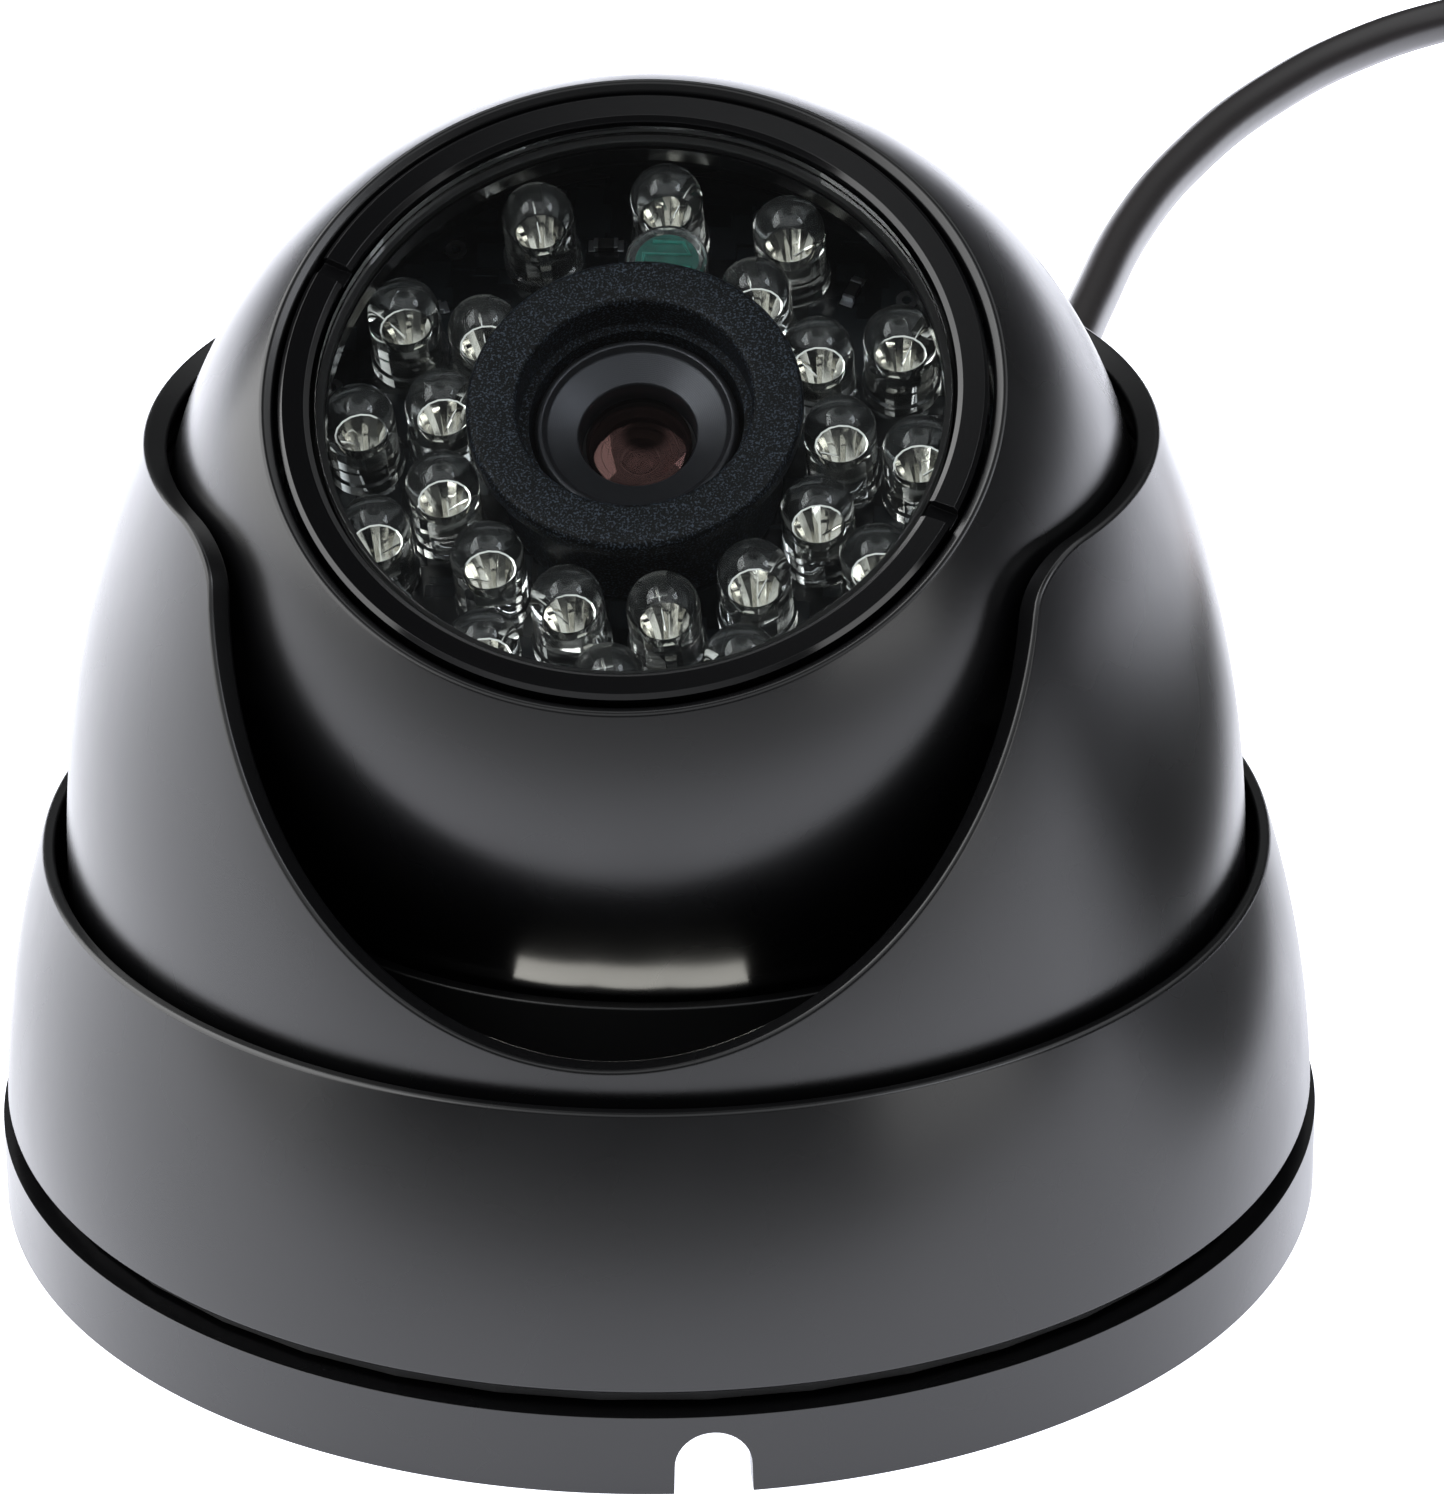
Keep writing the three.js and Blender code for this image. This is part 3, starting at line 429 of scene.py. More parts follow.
def makeCord(name, points, width, material):
    curve = bpy.data.curves.new(name, "CURVE")
    curve.dimensions = "3D"
    curve.bevel_depth = width / 2 * mm
    curve.bevel_resolution = 5
    curve.resolution_u = 10
    curve.use_fill_caps = True
    line = curve.splines.new("BEZIER")
    line.bezier_points.add(len(points) - 1)
    for knot, place in zip(line.bezier_points, points):
        knot.co = [c * mm for c in place]
        knot.handle_left_type = knot.handle_right_type = "AUTO"
    cord = bpy.data.objects.new(name, curve)
    scene.collection.objects.link(cord)
    curve.materials.append(material)
    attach(cord, "base")
    return cord


def leadRoute(side, connector):
    x, y = connector["place"]
    height = connector["radius"]
    low = cable["leadWidth"] / 2
    startX = split["place"][0] + side * split["spread"]
    startY = split["place"][1] - split["length"] / 2 + 1
    return [
        (startX, startY, split["height"] / 2),
        (startX + side * 0.2, startY - 7, split["height"] / 2 - 1),
        ((startX * 2 + x) / 3, (startY * 2 + y) / 3, low),
        ((startX + x * 2) / 3, (startY + y * 2) / 3, low + (height - low) * 0.15),
        (x, y + 9, height - 0.7),
        (x, y - 1, height),
    ]


def makeSplit():
    bm = bmesh.new()
    half, height, taper = split["width"] / 2, split["height"], split["taper"]
    addBox(bm, (split["width"], split["length"] - taper, height), (0, -taper / 2, height / 2))
    nose = max(bm.faces, key=lambda face: face.calc_center_median().y)
    grown = bmesh.ops.extrude_face_region(bm, geom=[nose])
    tip = [v for v in grown["geom"] if isinstance(v, bmesh.types.BMVert)]
    bmesh.ops.delete(bm, geom=[nose], context="FACES")
    bmesh.ops.translate(bm, vec=(0, taper, 0), verts=tip)
    bmesh.ops.scale(bm, vec=(0.6, 1, 0.78), space=Matrix.Translation((0, 0, -height / 2)), verts=tip)
    for i in range(5):
        ribPlace = (-half * 0.6 + half * 0.3 * i, -taper / 2, height - 0.05)
        addBox(bm, (0.5, split["length"] - 12, 0.5), ribPlace)
    return makePiece(bm, "cableSplit", "base", finishes["plastic"],
                     atPlace(*split["place"]), bevel=0.45, replaces=["cable_split"])


def makeVideoConnector():
    radius, length = video["radius"], video["length"]
    bm = turnedMesh([(1.6, 0), (3.2, 0), (3.4, 2), (3.0, 2.4), (3.5, 4.4), (3.1, 4.8), (3.8, 6.8), (3.8, 8),
                     (radius - 1.6, 8), (radius - 1.6, 10), (radius - 0.3, 10), (radius - 0.3, 19),
                     (radius - 1.2, 19), (radius - 1.2, length), (radius - 2.0, length), (radius - 2.0, 21),
                     (1.6, 21)], 96)
    for i in range(48):
        addBox(bm, (0.5, 0.35, 8), (radius - 0.32, 0, 14.5), Matrix.Rotation(2 * pi * i / 48, 4, "Z"))
    for side in (-1, 1):
        made = addCone(bm, 0, 1.5, 1.0, 0.9, 16)
        bmesh.ops.rotate(bm, cent=(0, 0, 0), matrix=Matrix.Rotation(side * pi / 2, 3, "Y"), verts=made)
        bmesh.ops.translate(bm, vec=(side * (radius - 1.4), 0, length - 4), verts=made)
    lying = atPlace(*video["place"], radius) @ Matrix.Rotation(pi / 2, 4, "X")
    body = makePiece(bm, "videoConnector", "base", finishes["nickel"], lying, bevel=0.12,
                     replaces=["video_connector"])
    bm = turnedMesh([(0.55, 20.5), (3.0, 20.5), (3.0, 26), (2.2, 27.4), (0.9, 27.4), (0.55, 27)], 48)
    core = makePiece(bm, "videoInsulator", "base", finishes["nylon"], lying, bevel=0.1)
    bm = turnedMesh([(0, 20.5), (0.5, 20.5), (0.5, 26.6), (0.35, 27), (0, 27)], 24)
    pin = makePiece(bm, "videoPin", "base", finishes["nickel"], lying)
    return [body, core, pin]


def makePowerConnector():
    radius, length = power["radius"], power["length"]
    bm = turnedMesh([(1.6, 0), (2.4, 0), (2.7, 1.4), (2.3, 1.9), (3.1, 3.4), (2.7, 3.9), (3.6, 5.4),
                     (3.2, 5.9), (4.2, 7.6), (radius, 9), (radius, 13), (radius - 0.25, 13.2),
                     (radius - 0.25, 13.8), (radius, 14), (radius, length), (3.1, length), (3.1, length - 9),
                     (1.6, length - 9)], 80)
    lying = atPlace(*power["place"], radius) @ Matrix.Rotation(pi / 2, 4, "X")
    body = makePiece(bm, "powerConnector", "base", finishes["plastic"], lying, bevel=0.15,
                     replaces=["power_connector"])
    bm = turnedMesh([(0, length - 9.5), (2.95, length - 9.5), (2.95, length - 0.4), (2.75, length - 0.4),
                     (2.75, length - 8.6), (0.95, length - 8.6), (0.95, length - 1.6), (0.6, length - 1),
                     (0, length - 1)], 48)
    socket = makePiece(bm, "powerSocket", "base", finishes["nickel"], lying)
    return [body, socket]


def makeTie():
    width, band = 3, 0.8
    room = cable["width"] + 0.3
    tall = 2 * cable["width"] + 0.3
    bm = bmesh.new()
    outline = bmesh.ops.create_cube(bm, size=1)["verts"]
    bmesh.ops.scale(bm, vec=(room + band, width, tall), verts=outline)
    bmesh.ops.translate(bm, vec=(0, 0, tall / 2 + 0.02), verts=outline)
    ends = [face for face in bm.faces if abs(face.normal.y) > 0.9]
    bmesh.ops.delete(bm, geom=ends, context="FACES_ONLY")
    corners = [e for e in bm.edges if abs((e.verts[0].co - e.verts[1].co).y) > 1]
    bmesh.ops.bevel(bm, geom=corners, offset=1.2, segments=4, profile=0.5, affect="EDGES", material=-1)
    bmesh.ops.recalc_face_normals(bm, faces=bm.faces)
    bmesh.ops.solidify(bm, geom=bm.faces[:], thickness=band / 2)
    addBox(bm, (1.6, width + 0.8, 2.4), (room / 2 + 0.7, 0, tall * 0.55))
    addBox(bm, (0.5, width - 0.6, 7), (room / 2 + 1.0, 0, tall * 0.55))
    place = atPlace(*cable["coilPlace"], 0, cable["tieTurn"])
    place = place @ Matrix.Translation((cable["coilRadius"] * mm, 0, 0))
    return makePiece(bm, "cableTie", "base", finishes["plastic"], place, bevel=0.1,
                     replaces=["cable_tie"])


def makeCords():
    splitPiece, tie = makeSplit(), makeTie()
    route = cableRoute() + coilRoute() + tailRoute()
    main = makeCord("cameraCable", route, cable["width"], finishes["cable"])
    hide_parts("camera_cable", "cable_coil", "cable_tail")
    for name, side, ending, pieces, finish in (
            ("video", 1, video, makeVideoConnector(), "yellow"),
            ("power", -1, power, makePowerConnector(), "red")):
        path = leadRoute(side, ending)
        lead = makeCord(name + "Lead", path, cable["leadWidth"], finishes[finish])
        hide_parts(name + "_lead")


makeCords()
print("cable laid")


# base and locking ring

base = {"radius": 47, "wall": 2.4, "flange": 5.9, "collar": 43.4, "collarTop": 12.3, "floorTop": 10.6,
        "floor": 2, "hole": 25, "bore": 40.4, "web": 1.1, "screwCircle": 33, "screwHole": 2.1, "boss": 4.4,
        "notchWidth": 5.2, "notchTop": 4.65, "notchTurn": 9.4}
ring = {"bottom": 7.5, "top": 26.9, "bottomRadius": 46.6, "topRadius": 43.3, "bulge": 70, "lip": 0.9,
        "step": 15.6, "thread": 43.7}


def makeBase():
    inside = base["radius"] - base["wall"]
    under = base["floorTop"] - base["floor"]
    hollow = base["collar"] - 2.2
    bm = turnedMesh([
        (inside, 0), (base["radius"], 0), (base["radius"], base["flange"]), (base["collar"], base["flange"]),
        (base["collar"], base["collarTop"]), (base["bore"], base["collarTop"]),
        (base["bore"], base["floorTop"]), (base["hole"], base["floorTop"]), (base["hole"], under),
        (hollow, under), (hollow, base["flange"] - base["web"]), (inside, base["flange"] - base["web"]),
    ], 240)
    cutters = []
    half = base["notchWidth"] / 2
    crown = base["notchTop"] - half
    for back in (0, 180):
        notch = bmesh.new()
        outline = [(half * 1.03, -1), (half, crown)] + arcPoints(half, 0, 180, 20, (0, crown))[1:-1]
        outline += [(-half, crown), (-half * 1.03, -1)]
        verts = [notch.verts.new((x, -base["radius"] + base["wall"] / 2 - 4, z)) for x, z in outline]
        face = notch.faces.new(verts)
        grown = bmesh.ops.extrude_face_region(notch, geom=[face])["geom"]
        far = [v for v in grown if isinstance(v, bmesh.types.BMVert)]
        bmesh.ops.translate(notch, vec=(0, 8, 0), verts=far)
        bmesh.ops.rotate(notch, cent=(0, 0, 0), verts=notch.verts,
                         matrix=Matrix.Rotation(radians(base["notchTurn"] + back), 3, "Z"))
        cutters.append(notch)
    for i in range(3):
        hole = bmesh.new()
        angle = radians(60 + 120 * i)
        addCone(hole, -1, 14, base["screwHole"], base["screwHole"], 40,
                (base["screwCircle"] * cos(angle), base["screwCircle"] * sin(angle)))
        cutters.append(hole)
    bm = cutAway(bm, *cutters)
    return makePiece(bm, "basePlate", "base", finishes["paint"], bevel=0.3,
                     replaces=["base_plate"], sharp=40)


def makeBosses():
    bm = bmesh.new()
    for i in range(3):
        angle = radians(60 + 120 * i)
        place = Matrix.Translation((base["screwCircle"] * cos(angle), base["screwCircle"] * sin(angle), 0))
        boss = turnedMesh([(base["screwHole"], 0), (base["boss"], 0), (base["boss"] + 0.3, 8.55),
                           (base["screwHole"], 8.55)], 48)
        bmesh.ops.transform(boss, matrix=place, verts=boss.verts)
        addInto(bm, boss)
    return makePiece(bm, "screwBosses", "base", finishes["paint"], bevel=0.25)


def ringRadius(height):
    tall = ring["top"] - ring["bottom"]
    up = height - ring["bottom"]
    slope = ring["bottomRadius"] - ring["topRadius"] - tall * tall / (2 * ring["bulge"])
    return ring["bottomRadius"] - up * up / (2 * ring["bulge"]) - slope * up / tall


def makeLockingRing():
    steps = 24
    top = ring["top"]
    outside = [(ringRadius(h), h) for h in
               (ring["bottom"] + (top - ring["bottom"]) * i / steps for i in range(steps + 1))]
    mouth = ring["topRadius"] - ring["lip"]
    bm = turnedMesh([(ring["thread"], ring["bottom"]), *outside, (mouth, top), (mouth, ring["step"]),
                     (ring["thread"], ring["step"])], 288)
    makePiece(bm, "lockingRing", "locking_ring", finishes["paint"], bevel=0.28,
              replaces=["locking_ring"])


# housing with its scoop

housing = {"radius": 41.6, "wall": 1.8, "arc": 80, "arcStart": 25, "top": 57.6, "scoopRadius": 27.7,
           "scoopCentre": 56.8, "corner": 3, "foot": 43.4, "footBottom": 13.7, "footTop": 15.3,
           "columns": 540, "rows": 40, "edge": 0.42,
           "inside": 39.8}
cradle = {"inner": 25.6, "outer": 39.5, "low": 14.0, "floor": 16.2, "foot": 30.6, "rim": (30.0, 27.76),
          "seat": 34.6}


def housingRadius(height):
    return housing["radius"] - max(height - housing["arcStart"], 0) ** 2 / (2 * housing["arc"])


# half width of the scoop seen from the front, at a height
def scoopHalfWidth(height):
    radius, corner = housing["scoopRadius"], housing["corner"]
    drop = housing["top"] - corner - housing["scoopCentre"]
    cornerAcross = sqrt((radius + corner) ** 2 - drop ** 2)
    meet = housing["scoopCentre"] + drop * radius / (radius + corner)
    if height <= meet:
        return sqrt(max(radius ** 2 - (height - housing["scoopCentre"]) ** 2, 0))
    return cornerAcross - sqrt(max(corner ** 2 - (height - housing["top"] + corner) ** 2, 0))


# height of the wall's edge at an angle round from the front
def wallTop(angle):
    low, high = housing["scoopCentre"] - housing["scoopRadius"], housing["top"]
    if abs(angle) > pi / 2 or scoopHalfWidth(high) < housingRadius(high) * sin(abs(angle)):
        return high
    for _ in range(40):
        middle = (low + high) / 2
        if scoopHalfWidth(middle) < housingRadius(middle) * sin(abs(angle)):
            low = middle
        else:
            high = middle
    return (low + high) / 2


def makeHousing():
    bm = bmesh.new()
    bmesh.ops.create_grid(bm, x_segments=housing["columns"], y_segments=housing["rows"], size=1)
    bottom = housing["footTop"] - 0.05
    for vert in bm.verts:
        angle = vert.co.x * pi
        height = bottom + (wallTop(angle) - bottom) * (vert.co.y + 1) / 2
        radius = housingRadius(height)
        vert.co = (radius * sin(angle), -radius * cos(angle), height)
    piece = makePiece(bm, "housing", "housing", finishes["paint"], replaces=["housing"],
                      sharp=60)
    wall = piece.modifiers.new("wall", "SOLIDIFY")
    wall.thickness = housing["wall"] * mm
    wall.offset = -1
    wall.use_even_offset = True
    bevelEdges(piece, housing["edge"], 40)
    inside, foot, low, top = housing["inside"], housing["foot"], housing["footBottom"], housing["footTop"]
    bm = turnedMesh([(inside, low), (foot, low), (foot, top), (inside, top)], 160)
    makePiece(bm, "housingFoot", "housing", finishes["paint"], bevel=0.15)
    low, floor = cradle["low"], cradle["floor"]
    seat = arcPoints(cradle["seat"], -33, -48, 12, (0, ballCentre))
    bm = turnedMesh([(cradle["inner"], low), (cradle["outer"], low), (cradle["outer"], floor),
                     (cradle["foot"], floor), cradle["rim"], *seat, (cradle["inner"], floor)], 160)
    makePiece(bm, "ballCradle", "housing", finishes["plastic"], bevel=0.2,
              replaces=["ball_cradle"])


makeBase()
makeBosses()
makeLockingRing()
makeHousing()
print("base, ring and housing made")


# ball shells, window and its ring, in the ball's frame

ball = {"radius": 34.3, "inside": 32.1, "lip": 25.0, "bore": 24.2, "joint": -19.2, "bushHole": 4.6,
        "ledge": 24.6, "ledgeTop": 13.7, "ledgeBottom": 12.1, "spigotOut": 24.9, "spigotIn": 23.1}
bezel = {"radius": 23.9, "top": 23.6, "bottom": 19.7, "opening": 21.8, "ledge": 20.9, "ledgeTop": 21.1,
         "slotTurn": 157, "slotWidth": 1.3, "slotDepth": 0.9}
gasket = {"radius": 21.5, "bottom": 21.4, "top": 22.0}
glass = {"radius": 21.45, "bottom": 22.3, "top": 23.1}


def makeShells():
    lipHeight = onSphere(ball["radius"], ball["lip"])
    jointAcross = onSphere(ball["radius"], ball["joint"])
    neck = ball["bore"] + 2.8
    neckHeight = onSphere(ball["inside"], neck)
    jointInside = onSphere(ball["inside"], ball["joint"])
    ledge = [(ball["ledge"], ball["ledgeTop"]), (ball["ledge"], ball["ledgeBottom"])]
    profile = arcPoints(ball["radius"], degrees(atan2(ball["joint"], jointAcross)),
                        degrees(atan2(lipHeight, ball["lip"])), 60)
    profile += [(ball["bore"], lipHeight - 0.5), (ball["bore"], neckHeight), (neck, neckHeight),
                (onSphere(ball["inside"], ball["ledgeTop"]), ball["ledgeTop"]), *ledge,
                (onSphere(ball["inside"], ball["ledgeBottom"]), ball["ledgeBottom"])]
    profile += arcPoints(ball["inside"], degrees(atan2(11.5, onSphere(ball["inside"], 11.5))),
                         degrees(atan2(ball["joint"], jointInside)), 16)
    makePiece(turnedMesh(profile, 288), "ballFrontShell", "ball", finishes["paint"], ballPlace,
              bevel=0.3, replaces=["ball_front_shell"])
    joint = ball["joint"] - 0.3
    hole = ball["bushHole"]
    outer, inner = ball["spigotOut"], ball["spigotIn"]
    spigot = [(outer, joint), (outer, joint + 2.6), (inner, joint + 2.6), (inner, -22.2)]
    profile = arcPoints(ball["radius"], degrees(atan2(-onSphere(ball["radius"], hole), hole)),
                        degrees(atan2(joint, onSphere(ball["radius"], joint))), 40)
    profile += spigot
    profile += arcPoints(ball["inside"], degrees(atan2(-22.3, onSphere(ball["inside"], 22.3))),
                         degrees(atan2(-onSphere(ball["inside"], hole), hole)), 12)
    makePiece(turnedMesh(profile, 240), "ballRearShell", "ball", finishes["paint"], ballPlace,
              bevel=0.25, replaces=["ball_rear_shell"])


def makeBezel():
    top = bezel["top"]
    bm = turnedMesh([
        (bezel["ledge"], bezel["bottom"]), (bezel["radius"], bezel["bottom"]), (bezel["radius"], top - 0.3),
        (bezel["radius"] - 0.3, top), (bezel["opening"] + 0.35, top - 0.18), (bezel["opening"], top - 0.45),
        (bezel["opening"], bezel["ledgeTop"]), (bezel["ledge"], bezel["ledgeTop"]),
    ], 288)
    slots = []
    for side in (0, 180):
        slot = bmesh.new()
        turn = Matrix.Rotation(radians(bezel["slotTurn"] + side), 4, "Z")
        addBox(slot, (4.4, bezel["slotWidth"], 2), (bezel["radius"], 0, top - bezel["slotDepth"] + 1), turn)
        slots.append(slot)
    makePiece(cutAway(bm, *slots), "bezelRing", "ball", finishes["enamel"], ballPlace,
              bevel=0.14, replaces=["bezel_ring"], sharp=25)
    bm = turnedMesh([(bezel["ledge"], gasket["bottom"]), (gasket["radius"], gasket["bottom"]),
                     (gasket["radius"], gasket["top"]), (bezel["ledge"], gasket["top"])], 200)
    makePiece(bm, "windowGasket", "ball", finishes["rubber"], ballPlace, bevel=0.1,
              replaces=["window_gasket"])
    bm = turnedMesh([(0, glass["bottom"]), (glass["radius"], glass["bottom"]),
                     (glass["radius"], glass["top"]), (0, glass["top"])], 200)
    makePiece(bm, "windowGlass", "ball", finishes["window"], ballPlace, bevel=0.08,
              replaces=["window_glass"])


makeShells()
makeBezel()
print("ball shells and window made")


# lamp board, lamps and light sensor

board = {"top": 11.8, "outerCircle": 19.1, "outerStep": 27, "outerTurn": 88, "innerCircle": 13.7,
         "innerStep": 27.4, "sensorTurn": 85.4, "innerLamps": 11}
lamp = {"radius": 2.5, "flange": 2.72, "flangeTall": 1.0, "tall": 8.0, "base": 12.1, "cupTop": 4.35,
        "cup": 0.88, "cupFoot": 0.42, "cupDeep": 0.95}


def lampPlaces():
    places = [(board["outerTurn"] + 90 * group + board["outerStep"] * i, board["outerCircle"])
              for group in range(4) for i in (-1, 0, 1)]
    places += [(board["sensorTurn"] - board["innerStep"] * i, board["innerCircle"])
               for i in range(1, board["innerLamps"] + 1)]
    return places


def inBall(turn, distance, height, spin=0):
    return atPlace(distance * cos(radians(turn)), distance * sin(radians(turn)), height, spin, ballPlace)


def makeLampBody(number, place):
    dome = lamp["tall"] - lamp["radius"]
    profile = [(0, 0), (lamp["flange"], 0), (lamp["flange"], lamp["flangeTall"]),
               (lamp["radius"], lamp["flangeTall"] + 0.12), (lamp["radius"], dome * 0.6)]
    profile += arcPoints(lamp["radius"], 0, 84, 14, (0, dome)) + [(0, lamp["tall"])]
    bm = turnedMesh(profile, 40)
    for vert in bm.verts:
        if vert.co.z < lamp["flangeTall"] + 0.01 and vert.co.x > lamp["radius"]:
            vert.co.x = lamp["radius"]  # the flat side of the flange
    return makePiece(bm, "lampBody%02d" % number, "ball", finishes["epoxy"], place,
                     replaces=["lamp_%02d" % number], sharp=40)


# the stamped lead frame: a faceted cup on its anvil, the thinner post beside it, the chip and its wire
def makeLampFrame(number, place):
    bm = bmesh.new()
    top = lamp["cupTop"]
    cup = turnedMesh([(0, top - 1.25), (lamp["cupFoot"] + 0.15, top - 1.25), (lamp["cup"] + 0.06, top),
                      (lamp["cup"], top), (lamp["cupFoot"], top - lamp["cupDeep"]),
                      (0, top - lamp["cupDeep"])], 18)
    for vert in cup.verts:
        foot = abs(vert.co.z - top + lamp["cupDeep"]) < 0.01
        if foot and round(atan2(vert.co.y, vert.co.x) / (pi / 9)) % 2:
            vert.co.xy *= 0.45
    addInto(bm, cup)
    addBox(bm, (0.3, 0.3, 0.16), (0, 0, top - lamp["cupDeep"] + 0.07))
    addBox(bm, (1.5, 0.5, 1.9), (-0.2, 0, top - 1.95))
    addBox(bm, (0.5, 0.5, top - 2.5), (-1.15, 0, (top - 2.5) / 2))
    addBox(bm, (0.55, 0.5, 1.5), (1.45, 0, top - 0.95))
    addBox(bm, (0.8, 0.5, 0.5), (1.3, 0, top - 1.5))
    addBox(bm, (0.5, 0.5, top - 1.3), (1.15, 0, (top - 1.3) / 2))
    wire = addCone(bm, 0, 1.35, 0.035, 0.035, 6)
    bmesh.ops.rotate(bm, cent=(0, 0, 0), matrix=Matrix.Rotation(radians(76), 3, "Y"), verts=wire)
    bmesh.ops.translate(bm, vec=(0.1, 0, top - 0.42), verts=wire)
    return makePiece(bm, "lampFrame%02d" % number, "ball", finishes["silver"], place, sharp=25)


def makeLamps():
    for i, (turn, distance) in enumerate(lampPlaces()):
        place = inBall(turn, distance, lamp["base"], 90 + 37 * (i % 5) - 60)
        makeLampBody(i + 1, place)
        makeLampFrame(i + 1, place)


def makeLightSensor():
    size = {"radius": 2.85, "face": 2.2, "low": 4.6, "tall": 2.2, "track": 0.17}
    place = inBall(board["sensorTurn"], board["innerCircle"], board["top"], 0)
    low, top = size["low"], size["low"] + size["tall"]
    bm = turnedMesh([(0, low), (size["face"], low), (size["face"], top - 0.55), (0, top - 0.55)], 48)
    makePiece(bm, "sensorFace", "ball", finishes["deepTeal"], place, bevel=0.1,
              replaces=["photocell"])
    radius = size["radius"]
    bm = turnedMesh([(radius - 0.2, low), (radius, low), (radius, top - 0.3), (radius - 0.3, top), (0, top),
                     (0, top - 0.45), (radius - 0.2, top - 0.45)], 48)
    makePiece(bm, "sensorCap", "ball", finishes["epoxy"], place)
    curve = bpy.data.curves.new("track", "CURVE")
    curve.dimensions = "3D"
    curve.bevel_depth = size["track"]
    line = curve.splines.new("POLY")
    runs = 4
    points = []
    for i in range(runs):
        y = -1.5 + 3.0 * i / (runs - 1)
        reach = sqrt(1.95 ** 2 - y * y) * 0.85
        side = 1 if i % 2 else -1
        points += [(side * reach, y), (-side * reach, y)]
    line.points.add(len(points) - 1)
    for knot, (x, y) in zip(line.points, points):
        knot.co = (x, y, top - 0.53, 1)
    holder = bpy.data.objects.new("track", curve)
    bm = bmesh.new()
    bm.from_mesh(holder.to_mesh())
    bpy.data.objects.remove(holder)
    makePiece(bm, "sensorTrack", "ball", finishes["teal"], place)
    bm = bmesh.new()
    for x in (-0.8, 0.8):
        addCone(bm, 0.05, low + 0.1, 0.28, 0.28, 12, (x, 0))
    makePiece(bm, "sensorLegs", "ball", finishes["solder"], place)


# chip resistors and solder pads on the board between the lamps
def makeBoardParts():
    chips = [(101.5, 19.2, 80), (49, 20.6, 20), (140, 20.4, 60), (193, 19.8, 5), (230, 20.2, 45),
             (318, 20.4, 50)]
    spots = [(72, 22.6), (41, 22.9), (10, 22.6), (163, 23.0), (128, 23.2), (250, 22.8), (284, 23)]
    body, ends = bmesh.new(), bmesh.new()
    for turn, distance, spin in chips:
        place = Matrix.Rotation(radians(turn), 4, "Z")
        place = place @ Matrix.Translation((distance, 0, board["top"] + 0.32))
        place = place @ Matrix.Rotation(radians(spin), 4, "Z")
        addBox(body, (1.1, 0.8, 0.5), (0, 0, 0), place)
        for side in (-1, 1):
            addBox(ends, (0.3, 0.84, 0.54), (side * 0.7, 0, 0), place)
            addBox(ends, (0.5, 0.95, 0.12), (side * 1.0, 0, -0.2), place)
    makePiece(body, "chipResistors", "ball", finishes["plastic"], ballPlace, bevel=0.05)
    makePiece(ends, "chipEnds", "ball", finishes["solder"], ballPlace, bevel=0.05)
    pads = bmesh.new()
    for turn, distance in spots:
        spot = turnedMesh([(0.35, 0.02), (0.75, 0.02), (0.75, 0.1), (0.35, 0.1)], 24)
        move = Matrix.Rotation(radians(turn), 4, "Z") @ Matrix.Translation((distance, 0, board["top"]))
        bmesh.ops.transform(spot, matrix=move, verts=spot.verts)
        addInto(pads, spot)
    makePiece(pads, "boardPads", "ball", finishes["solder"], ballPlace)


makeLamps()
makeLightSensor()
makeBoardParts()
print("lamps made")


# lens shroud, barrel and glass

shroud = {"radius": 11.4, "opening": 7.95, "bore": 7.3, "neck": 9.6, "top": 22.0, "brim": 1.5, "step": 19.3}
lens = {"head": 6.9, "top": 18.9, "coneOut": 6.1, "coneIn": 3.95, "coneTop": 18.5, "coneFoot": 17.7,
        "seat": 16.3, "glass": 3.6, "crown": 0.8}


def makeShroud():
    top, low = shroud["top"], shroud["top"] - shroud["brim"]
    rim = arcPoints(0.55, 0, 90, 6, (shroud["radius"] - 0.55, top - 0.55))
    mouth = arcPoints(0.5, 90, 180, 6, (shroud["opening"] + 0.5, top - 0.5))
    bm = turnedMesh([(shroud["bore"], 12.1), (shroud["neck"], 12.1), (shroud["neck"], low - 0.4),
                     (shroud["radius"], low + 0.2), *rim, *mouth, (shroud["opening"], shroud["step"]),
                     (shroud["bore"], shroud["step"])], 160)
    makePiece(bm, "lensShroud", "ball", finishes["grained"], ballPlace,
              replaces=["lens_shroud"], sharp=40)


